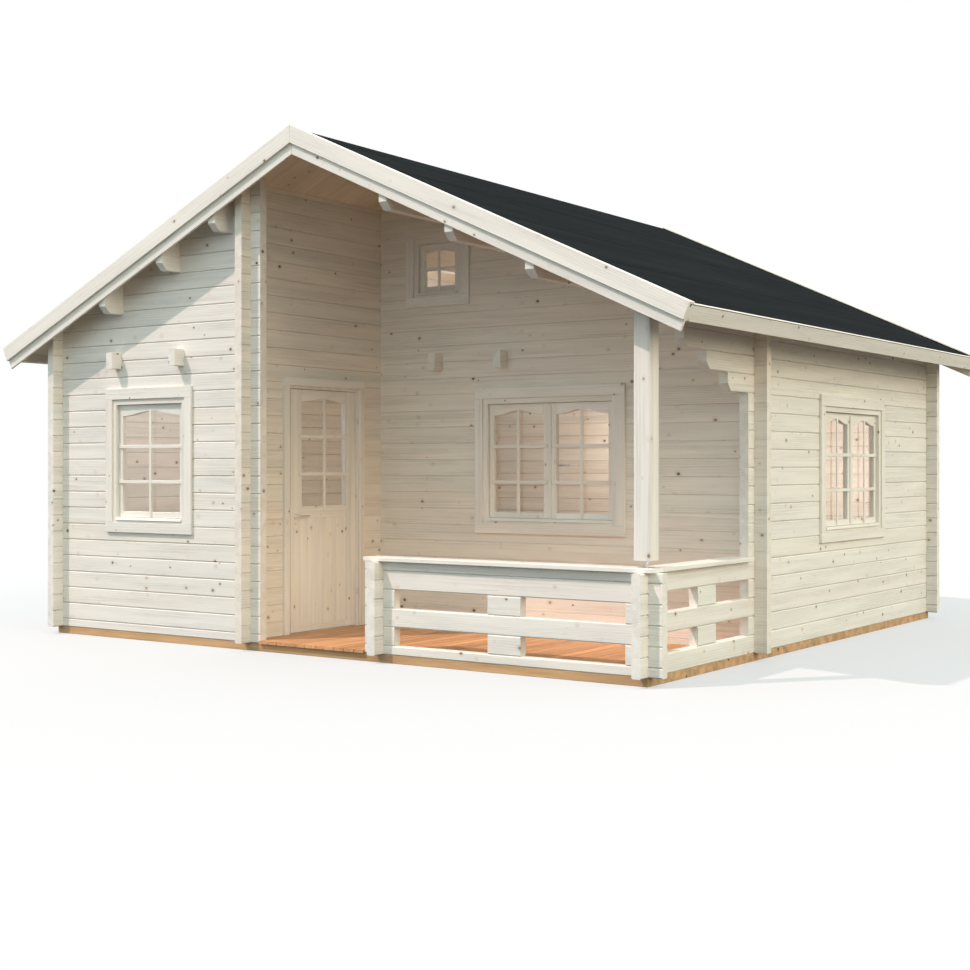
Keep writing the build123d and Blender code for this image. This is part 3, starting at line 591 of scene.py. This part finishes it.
def trim(mesh, axis, place, outward):
    """Saws off what lies beyond a place on an axis, and closes the cut."""
    way = AXES[axis] * outward
    facing_in, on_cut = -0.9, 0.01 * MM  # cosine and distance of faces left lying on the cut
    bmesh.ops.bisect_plane(
        mesh,
        geom=[*mesh.verts, *mesh.edges, *mesh.faces],
        dist=0.002 * MM,
        plane_co=AXES[axis] * place,
        plane_no=way,
        clear_outer=True,
    )
    loose = [
        face
        for face in mesh.faces
        if face.normal.dot(way) < facing_in
        and all(abs(vert.co[axis] - place) < on_cut for vert in face.verts)
    ]
    bmesh.ops.delete(mesh, geom=loose, context="FACES")
    rims = [edge for edge in mesh.edges if edge.is_boundary]
    bmesh.ops.holes_fill(mesh, edges=rims, sides=0)


def gather(whole, part):
    """Moves a mesh into another one."""
    bmesh.ops.recalc_face_normals(part, faces=part.faces)
    held = bpy.data.meshes.new("part")
    part.to_mesh(held)
    part.free()
    whole.from_mesh(held)
    bpy.data.meshes.remove(held)


def members(mesh, spans):
    """Saws a frame into its members; each span holds an axis with its low and high place."""
    whole = bmesh.new()
    for span in spans:
        part = mesh.copy()
        for axis, low, high in span:
            if low is not None:
                trim(part, axis, low, -1)
            if high is not None:
                trim(part, axis, high, 1)
        gather(whole, part)
    mesh.free()
    return whole


def saw(mesh, axis, width, gap=0.0):
    """Saws a solid into boards of one width, with a gap between them."""
    places = [vert.co[axis] for vert in mesh.verts]
    low, high = min(places), max(places)
    count = max(1, round((high - low) / width))
    step = (high - low) / count
    spans = []
    for i in range(count):
        start = low + i * step + gap / 2 if i else None
        stop = low + (i + 1) * step - gap / 2 if i < count - 1 else None
        spans.append([(axis, start, stop)])
    return members(mesh, spans)


def corners_of(mesh, axis):
    """The different places of a mesh's corners along one axis, from low to high."""
    places = []
    for place in sorted(vert.co[axis] for vert in mesh.verts):
        if not places or place - places[-1] > 0.5 * MM:
            places.append(place)
    return places


def opening(mesh, axis):
    """Where a frame's opening for its sashes begins and ends: its third corner from either side."""
    places = corners_of(mesh, axis)
    return places[2], places[-3]


class CABIN_OT_logs(bpy.types.Operator):
    """Walls and railings of squared logs, with a groove between the logs"""

    bl_idname = "cabin.logs"
    bl_label = "Log walls"

    def execute(self, context):
        runs = {
            "front_wall": 0,
            "recess_wall": 0,
            "back_wall": 0,
            "left_wall": 1,
            "right_wall": 1,
            "porch_wall_front": 1,
            "porch_wall_rear": 1,
            "porch_wall_over": 1,
            "front_railing": 0,
            "rail_blocks": 1,
        }
        wood = settings().wood
        for node, axis in runs.items():
            round_terrace = node == "recess_wall" or node.startswith("porch_wall")
            if node in ("recess_wall", "porch_wall_rear"):
                width = wood.sheltered
            elif round_terrace:
                width = (wood.sheltered + wood.groove) / 2
            else:
                width = wood.groove
            mesh = shape_of(node)
            open_runs = self.open_runs(node)
            part_at(mesh, AXES[axis], [place for run in open_runs for place in run])
            timber(
                mesh, node, node + "_logs", width, AXES[axis], AXES[axis],
                seams=lambda face: self.meets(face, axis, open_runs),
                # The terrace walls get the copy with the painted warm shade tint.
                surface=shade_tinted_pine() if round_terrace else whitewashed_pine(),
                nodes=(node,),
            )
        return {"FINISHED"}

    def open_runs(self, node):
        """Stretches along a railing where the logs have gaps between them."""
        front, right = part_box("front_railing"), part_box("right_wall")
        spacers = shape_of("rail_blocks")
        blocks = [box_of(faces) for faces in bodies_of(spacers)]
        spacers.free()
        front_face, recess_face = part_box("front_wall")[1].y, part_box("recess_wall")[0].y
        end, stub = 100 * MM, 170 * MM  # log ends past a crossing, and the short logs beside it
        if node == "front_railing":
            low, high = front[0].x + stub + end, front[1].x - stub - end
            middles = [box for box in blocks if box[0].y < front_face]
            axis = 0
        elif node == "right_wall":
            low, high = right[0].y + stub + end, recess_face - end
            middles = [box for box in blocks if box[0].y > front_face]
            axis = 1
        else:
            return []
        if not middles:
            return [(low, high)]
        return [(low, middles[0][0][axis]), (middles[0][1][axis], high)]

    def meets(self, face, axis, open_runs):
        """Whether a chamfer lies where another log lies on its log."""
        middle = face.calc_center_median()
        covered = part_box("front_railing")[1].z - 100 * MM  # cap or wall lies on the logs from here
        if middle.z > covered:
            return True
        return not any(low < middle[axis] < high for low, high in open_runs)


class CABIN_OT_beams(bpy.types.Operator):
    """Purlins, ridge beam, loft beams, corner post with its foot, and rail caps"""

    bl_idname = "cabin.beams"
    bl_label = "Beams and post"

    def execute(self, context):
        stout = 1.6 * settings().wood.eased
        runs = {
            "left_purlins": Y,
            "right_purlins": Y,
            "ridge_beam": Y,
            "loft_beams": Y,
            "corner_post": Z,
        }
        for node, along in runs.items():
            timber(
                shape_of(node), node, node + "_timber", stout, along, along,
                surface=whitewashed_pine(), nodes=(node,),
            )
        cap = "rail_cap"
        timber(shape_of(cap), cap, "rail_cap_boards", stout, steps=2, nodes=(cap,))
        finish("post_foot", zinc_steel())
        return {"FINISHED"}


class CABIN_OT_floors(bpy.types.Operator):
    """Base beams, terrace boards and room floor boards"""

    bl_idname = "cabin.floors"
    bl_label = "Floors"

    def execute(self, context):
        wood = settings().wood
        node = "base_beams"
        timber(
            shape_of(node), node, "base_beams_timber", wood.eased,
            surface=impregnated_timber(), nodes=(node,),
        )
        node = "terrace_deck"
        timber(
            saw(shape_of(node), 0, wood.deck_board, wood.deck_gap), node, "terrace_boards",
            wood.eased, Y, Y, surface=oiled_decking(), nodes=(node,),
        )
        node = "room_floor"
        timber(
            saw(shape_of(node), 0, wood.floor_board, wood.floor_gap), node, "room_floor_boards",
            0.6 * wood.eased, Y, Y, surface=bare_pine(), nodes=(node,),
        )
        return {"FINISHED"}


class CABIN_OT_roof(bpy.types.Operator):
    """Roof boards, felt strips, verges, fascias and eave battens"""

    bl_idname = "cabin.roof"
    bl_label = "Roof"

    def execute(self, context):
        wood, roof = settings().wood, settings().roof
        for hand in ("left", "right"):
            node = hand + "_roof_boards"
            mesh = saw(shape_of(node), 1, roof.board)
            downhill = self.slope(mesh)[0]
            timber(
                mesh, node, hand + "_soffit_boards", 0.5 * wood.eased, downhill, downhill,
                surface=bare_pine(), nodes=(node,),
            )
            self.lay_felt(hand)
        for node in ("front_verge", "back_verge", "fascias"):
            timber(shape_of(node), node, node + "_boards", wood.eased, nodes=(node,))
        return {"FINISHED"}

    def slope(self, mesh):
        """The way down a slope, and the way straight out of it."""
        outward = max((face.normal for face in mesh.faces), key=lambda way: way.z).copy()
        downhill = Y.cross(outward)
        if downhill.z > 0:
            downhill.negate()
        return downhill, outward

    def lay_felt(self, hand):
        """Strips along the roof, lapped downwards, a ridge strip and a batten at the eave."""
        roof = settings().roof
        node = hand + "_roof_felt"
        mesh = shape_of(node)
        downhill, outward = self.slope(mesh)
        runs = [vert.co.dot(downhill) for vert in mesh.verts]
        seat = min(vert.co.dot(outward) for vert in mesh.verts)
        ends = min(vert.co.y for vert in mesh.verts), max(vert.co.y for vert in mesh.verts)
        mesh.free()
        top, eave = min(runs), max(runs)
        count = max(1, round((eave - top) / roof.strip))
        step = (eave - top) / count
        felt = bmesh.new()
        for i in range(count):
            start = top + i * step - (roof.lap if i else 0)
            lift = roof.lap_lift if i < count - 1 else 0
            places = ((start, 0), (top + (i + 1) * step, lift))
            self.strip(felt, places, (downhill, outward), seat, ends, roof.felt_thick)
        places = ((top, roof.felt_thick), (top + roof.cap, roof.felt_thick))
        self.strip(felt, places, (downhill, outward), seat, ends, 0.5 * roof.felt_thick)
        bmesh.ops.recalc_face_normals(felt, faces=felt.faces)
        lay_grain(felt, node, Y)
        piece(felt, hand + "_felt_strips", roof_felt(), nodes=(node,))
        batten = bmesh.new()
        places = ((eave - roof.batten, roof.felt_thick), (eave, roof.felt_thick))
        self.strip(batten, places, (downhill, outward), seat, ends, 3 * roof.felt_thick)
        bmesh.ops.recalc_face_normals(batten, faces=batten.faces)
        width = 0.6 * settings().wood.eased
        timber(batten, node + "_batten", hand + "_eave_batten", width, grain=Y)

    def strip(self, mesh, places, ways, seat, ends, thick):
        """One strip between two places on the slope, each with its lift."""
        downhill, outward = ways
        corners = []
        for y in ends:
            for place, lift in places:
                for height in (0, thick):
                    at = downhill * place + outward * (seat + lift + height) + Y * y
                    corners.append(mesh.verts.new(at))
        a, b, c, d, e, f, g, h = corners
        sides = (a, b, d, c), (e, g, h, f), (a, c, g, e), (b, f, h, d), (a, e, f, b), (c, d, h, g)
        for side in sides:
            mesh.faces.new(side)


GLASS_THICK = 4 * MM
HANDLE_LEVEL, HANDLE_ROUND = 0.46, 3 * MM  # share of a pane's height, and edges of the handle
# Boxes of a window's inner handle in mm, each from two places along, out of and up the sash.
HANDLE_BOXES = (
    ((-13, 13), (0, 8), (-32, 32)),
    ((-8, 8), (8, 40), (-8, 8)),
    ((-9, 105), (30, 42), (-8, 8)),
)


class CABIN_OT_windows(bpy.types.Operator):
    """Window frames, casings, sashes, lattices, handles and glass"""

    bl_idname = "cabin.windows"
    bl_label = "Windows"

    def execute(self, context):
        panes, joinery = self.panes(), settings().joinery
        for name in ("front", "recess", "right", "gable"):
            across = 1 if name == "right" else 0
            low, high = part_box(name + "_window_frame")
            held = [pane for pane in panes if all(low[i] < pane[0][i] < high[i] for i in range(3))]
            held.sort(key=lambda pane: pane[0][across])
            self.frame(name, across, held)
            casing_boards(name + "_window_casing", name + "_window_boards", across)
            outward = 1 if name == "right" else -1
            shares = (joinery.gable_share,) if name == "gable" else joinery.bar_shares[:]
            mesh = bmesh.new()
            for pane in held:
                lattice(mesh, pane, across, outward, shares)
            timber(mesh, name + "_lattice", name + "_window_lattice", settings().wood.eased)
            self.sill(name, across, outward)
            if len(held) > 1:
                self.meeting(name, across, outward, held)
        finish("window_glass", clear_glass())
        return {"FINISHED"}

    def panes(self):
        """Corners of each pane of glass."""
        glass = shape_of("window_glass")
        found = [box_of(faces) for faces in bodies_of(glass)]
        glass.free()
        return found

    def frame(self, name, across, panes):
        """Frame and sashes as the members that they are joined from, with a gap round each sash."""
        node = name + "_window_frame"
        mesh = shape_of(node)
        gap, room = settings().joinery.gap, 0.3 * MM
        sliver = 0.05 * MM  # keeps a cut clear of the faces that it runs along
        left, right = opening(mesh, across)
        foot, head = opening(mesh, 2)
        sash = (2, foot + gap, head - gap)
        spans = [
            [(across, None, left - sliver)],
            [(across, right + sliver, None)],
            [(across, left, right), (2, None, foot - sliver)],
            [(across, left, right), (2, head + sliver, None)],
        ]
        start = left + gap
        for i, (low, high) in enumerate(panes):
            stop = right - gap
            if i < len(panes) - 1:
                stop = (high[across] + panes[i + 1][0][across] - gap) / 2
            inner = low[across] - room, high[across] + room
            spans.append([(across, start, inner[0]), sash])
            spans.append([(across, inner[1], stop), sash])
            spans.append([(across, *inner), sash])
            start = stop + gap
        width = 0.8 * settings().wood.eased
        timber(members(mesh, spans), node, name + "_window_joinery", width, nodes=(node,))

    def sill(self, name, across, outward):
        """Sloped strip along the foot of a frame, that sheds water and catches the sky."""
        mesh = shape_of(name + "_window_frame")
        thin = 1 - across
        ends, foot, deep = opening(mesh, across), opening(mesh, 2)[0], corners_of(mesh, thin)
        mesh.free()
        face = deep[0] if outward < 0 else deep[-1]
        high = settings().joinery.sill
        out, lip, width = 0.7 * high, 2 * MM, MM
        strip = bmesh.new()
        bar(strip, {across: ends, thin: (face, face + outward * out), 2: (foot - high, foot)})
        for vert in strip.verts:
            if vert.co.z > foot - high / 2 and abs(vert.co[thin] - face) > out / 2:
                vert.co[thin] = face + outward * lip
        timber(strip, name + "_sill", name + "_window_sill", width, grain=AXES[across])

    def meeting(self, name, across, outward, panes):
        """Strip over the joint of two sashes, and the handle on its inside."""
        joinery = settings().joinery
        thin = 1 - across
        middle = (panes[0][1][across] + panes[1][0][across]) / 2
        glass = panes[0][0][thin] if outward < 0 else panes[0][1][thin]
        face = glass + outward * joinery.reveal
        foot, head = panes[0][0].z, panes[0][1].z
        strip = bmesh.new()
        span = middle - joinery.strip / 2, middle + joinery.strip / 2
        depth = face, face + outward * joinery.bar_depth
        rows = foot - joinery.bar_reach, head + joinery.bar_reach
        bar(strip, {across: span, thin: depth, 2: rows})
        seed, width = name + "_meeting", settings().wood.eased
        timber(strip, seed, name + "_meeting_strip", width, grain=Z, steps=2)
        inside = glass - outward * (joinery.reveal + GLASS_THICK)
        stile = (middle + panes[1][0][across]) / 2
        level = foot + HANDLE_LEVEL * (head - foot)
        handle = bmesh.new()
        for along, out, up in HANDLE_BOXES:
            span = [stile + size * MM for size in along]
            depth = [inside - outward * size * MM for size in out]
            bar(handle, {across: span, thin: depth, 2: [level + size * MM for size in up]})
        ease(handle, HANDLE_ROUND, steps=2)
        piece(handle, name + "_window_handle", zinc_steel())


def casing_boards(node, name, across, foot=True):
    """Boards round an opening: head and foot across, sides between them."""
    ring = shape_of(node)
    wide, tall = corners_of(ring, across), corners_of(ring, 2)
    thin = 1 - across
    depth = corners_of(ring, thin)[0], corners_of(ring, thin)[-1]
    ring.free()
    seam = 0.3 * MM
    head = tall[-2]
    sill = tall[1] + seam if foot else tall[0]
    spans = [
        (wide[0], wide[1], sill, head - seam),
        (wide[-2], wide[-1], sill, head - seam),
        (wide[0], wide[-1], head, tall[-1]),
    ]
    if foot:
        spans.append((wide[0], wide[-1], tall[0], tall[1]))
    mesh = bmesh.new()
    for left, right, bottom, top in spans:
        bar(mesh, {across: (left, right), thin: depth, 2: (bottom, top)})
    timber(mesh, name, name, settings().wood.eased, steps=2, nodes=(node,))


def lattice(mesh, pane, across, outward, shares):
    """One upright and its cross bars, laid on a sash over its pane."""
    joinery = settings().joinery
    low, high = pane
    thin = 1 - across
    half, reach = joinery.bar / 2, joinery.bar_reach
    glass = low[thin] if outward < 0 else high[thin]
    face = glass + outward * joinery.reveal
    depth = face, face + outward * joinery.bar_depth
    middle = (low[across] + high[across]) / 2
    upright = middle - half, middle + half
    bar(mesh, {across: upright, thin: depth, 2: (low.z - reach, high.z + 0.3 * reach)})
    for share in shares:
        level = low.z + share * (high.z - low.z)
        rows = level - half, level + half
        for side in ((low[across] - reach, upright[0]), (upright[1], high[across] + reach)):
            bar(mesh, {across: side, thin: depth, 2: rows})


class CABIN_OT_door(bpy.types.Operator):
    """Door frame and boards, leaf with panel boards and lattice, glass and fittings"""

    bl_idname = "cabin.door"
    bl_label = "Door"

    def execute(self, context):
        wood, joinery = settings().wood, settings().joinery
        node = "door_frame"
        timber(shape_of(node), node, "door_frame_timber", wood.eased, grain=Z, nodes=(node,))
        casing_boards("door_casing", "door_casing_boards", 1, foot=False)
        node = "door_leaf"
        mesh = shape_of(node)
        thick, wide, tall = (corners_of(mesh, axis) for axis in range(3))
        left, right = wide[2], wide[-3]
        spans = [
            [(1, None, left)],
            [(1, right, None)],
            [(1, left, right), (2, None, tall[1])],
            [(1, left, right), (2, tall[1], tall[2])],
            [(1, left, right), (2, tall[2], None)],
        ]
        width = 0.8 * wood.eased
        timber(
            members(mesh, spans), node, "door_leaf_joinery", width, body="door", nodes=(node,)
        )
        mesh = bmesh.new()
        room = 0.3 * MM
        rows = tall[1] + room, tall[2] - room
        step = (wide[-2] - wide[1]) / joinery.panel_boards
        for face, outward in ((thick[2], 1), (thick[1], -1)):
            for i in range(joinery.panel_boards):
                start = wide[1] + i * step
                span = start + room, start + step - room
                bar(mesh, {0: (face, face + outward * joinery.panel), 1: span, 2: rows})
        width = 0.4 * wood.eased
        timber(mesh, "door_panel", "door_panel_boards", width, grain=Z, body="door")
        mesh = bmesh.new()
        lattice(mesh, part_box("door_glass"), 1, 1, joinery.bar_shares[:])
        timber(mesh, "door_lattice", "door_lattice", wood.eased, body="door")
        coated = painted_steel()
        for node in ("hinge_pins", "hinge_leaves"):
            finish(node, coated)
        finish("door_handle", nickel_steel())
        finish("door_glass", clear_glass())
        return {"FINISHED"}


def seen_directly(tree):
    """One for what is seen straight, mirrored or through glass, zero for light that spreads."""
    path = put(tree, "LightPath").node.outputs
    rays = path["Is Camera Ray"], path["Is Glossy Ray"]
    mirrored = put(tree, "Math", rays, operation="MAXIMUM")
    return put(tree, "Math", (mirrored, path["Is Transmission Ray"]), operation="MAXIMUM")


# Each sun has a name, a colour of the stage, a strength, a width in degrees and a way.
SUNS = (
    ("key_light", "sun", 2.5, 1, (0.8, 1.0, -1.7)),
    ("side_light", "side", 1.26, 40, (-1.0, 0.05, -0.4)),
)
# Each lamp inside has a name, a colour of the stage, a power in watts and a place.
LAMPS = (
    ("right_room_light", "lamp", 22, (2.2, 1.9, 1.4)),
    ("middle_room_light", "lamp", 16, (-0.3, 2.05, 1.6)),
    ("front_room_light", "white_lamp", 20, (-1.7, -1.7, 2.05)),
    ("loft_light", "white_lamp", 10, (-0.9, 0.4, 2.75)),
)
LAMP_RADIUS = 0.4
# The camera was fitted to edges in the photo; its picture, focal length and middle are in pixels.
PICTURE, FOCAL, MIDDLE = 970, 1512.5, (510.66, 466.57)
EYE, EYE_TURN, SENSOR = (7.592, -11.1927, 1.4174), 34.1766, 36
VIEW_REACH, FLOOR_REACH, FLOOR_DROP = 200, 120, 0.5 * MM


class CABIN_OT_stage(bpy.types.Operator):
    """Floor, light and camera"""

    bl_idname = "cabin.stage"
    bl_label = "Studio"

    def execute(self, context):
        stage, scene = settings().stage, context.scene
        scene.view_settings.view_transform = "Standard"
        self.floor(stage)
        self.world(stage, scene)
        for name, tint, strength, degrees, way in SUNS:
            made = self.light(name, "SUN", getattr(stage, tint), strength)
            made.data.angle = math.radians(degrees)
            made.rotation_euler = Vector(way).to_track_quat("-Z", "Y").to_euler()
        for name, tint, power, place in LAMPS:
            made = self.light(name, "POINT", getattr(stage, tint), power)
            made.data.shadow_soft_size = LAMP_RADIUS
            made.location = place
            made.visible_camera = made.visible_transmission = made.visible_glossy = False
        view = bpy.data.cameras.new("camera")
        view.sensor_width, view.lens = SENSOR, SENSOR * FOCAL / PICTURE
        view.shift_x = (PICTURE / 2 - MIDDLE[0]) / PICTURE
        view.shift_y = (MIDDLE[1] - PICTURE / 2) / PICTURE
        view.clip_end = VIEW_REACH
        camera = bpy.data.objects.new("camera", view)
        camera.location = EYE
        camera.rotation_euler = Euler((math.radians(90), 0, math.radians(EYE_TURN)))
        scene.collection.objects.link(camera)
        scene.camera = camera
        return {"FINISHED"}

    def floor(self, stage):
        """A wide pale floor."""
        made, tree, main = new_material("pale_matt_floor")
        fill(tree, main, {"Base Color": (*stage.bounce, 1), "Roughness": 0.9})
        # The glow leaves little of the shadows on the floor, and keeps its far end white.
        pale = put(tree, "BsdfDiffuse", {"Color": (*stage.floor, 1)})
        glow = put(tree, "Emission", {"Color": (*stage.floor, 1), "Strength": 0.7})
        shown = put(tree, "MixShader", (0.7, pale, glow))
        both = put(tree, "MixShader", (seen_directly(tree), main.outputs[0], shown))
        fill(tree, tree.nodes["Material Output"], {"Surface": both})
        mesh = bmesh.new()
        bmesh.ops.create_grid(mesh, x_segments=1, y_segments=1, size=FLOOR_REACH)
        data = bpy.data.meshes.new("studio_floor")
        mesh.to_mesh(data)
        mesh.free()
        data.materials.append(made)
        floor = bpy.data.objects.new("studio_floor", data)
        floor.location.z = -FLOOR_DROP
        bpy.context.scene.collection.objects.link(floor)

    def world(self, stage, scene):
        """White behind the object; for all else a soft cool fill, warm low on the right."""
        world = scene.world or bpy.data.worlds.new("studio")
        scene.world = world
        world.use_nodes = True
        tree = world.node_tree
        tree.nodes.clear()
        way = put(tree, "TexCoord", out="Generated")
        low_right = put(tree, "VectorMath", (way, (1, 0, -0.8)), "Value", operation="DOT_PRODUCT")
        share = put(tree, "MapRange", (low_right, 0.35, 0.85), **SOFT)
        tint = put(tree, "Mix", {0: share, 6: (*stage.sky, 1), 7: (*stage.glow, 1)}, 2, **BLEND)
        soft = put(tree, "Background", {"Color": tint, "Strength": 1.19})
        white = put(tree, "Background", {"Color": (1, 1, 1, 1), "Strength": 1})
        both = put(tree, "MixShader", (seen_directly(tree), soft, white))
        fill(tree, tree.nodes.new("ShaderNodeOutputWorld"), {"Surface": both})

    def light(self, name, kind, tint, energy):
        """A light of some kind in the scene."""
        data = bpy.data.lights.new(name, kind)
        data.color, data.energy = tint, energy
        made = bpy.data.objects.new(name, data)
        bpy.context.scene.collection.objects.link(made)
        return made


class CABIN_PT_panel(bpy.types.Panel):
    """Lists the cabin's steps and settings"""

    bl_idname = "CABIN_PT_panel"
    bl_label = "Log cabin"
    bl_space_type = "VIEW_3D"
    bl_region_type = "UI"
    bl_category = "Cabin"

    def draw(self, context):
        for step in STEPS:
            self.layout.operator(step.bl_idname)
        cabin = context.scene.cabin
        for group in (cabin.wood, cabin.roof, cabin.joinery, cabin.stage):
            box = self.layout.box()
            for name in group.__annotations__:
                box.prop(group, name)


STEPS = (
    CABIN_OT_logs,
    CABIN_OT_beams,
    CABIN_OT_floors,
    CABIN_OT_roof,
    CABIN_OT_windows,
    CABIN_OT_door,
    CABIN_OT_stage,
)
GROUPS = (CabinWood, CabinRoof, CabinJoinery, CabinStage, CabinSettings)


def register():
    for kind in (*GROUPS, *STEPS, CABIN_PT_panel):
        bpy.utils.register_class(kind)
    bpy.types.Scene.cabin = PointerProperty(type=CabinSettings)


def unregister():
    del bpy.types.Scene.cabin
    for kind in reversed((*GROUPS, *STEPS, CABIN_PT_panel)):
        bpy.utils.unregister_class(kind)


def main():
    register()
    bpy.ops.cabin.logs()
    bpy.ops.cabin.beams()
    bpy.ops.cabin.floors()
    bpy.ops.cabin.roof()
    bpy.ops.cabin.windows()
    bpy.ops.cabin.door()
    bpy.ops.cabin.stage()
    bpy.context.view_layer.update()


if __name__ == "__main__":
    main()
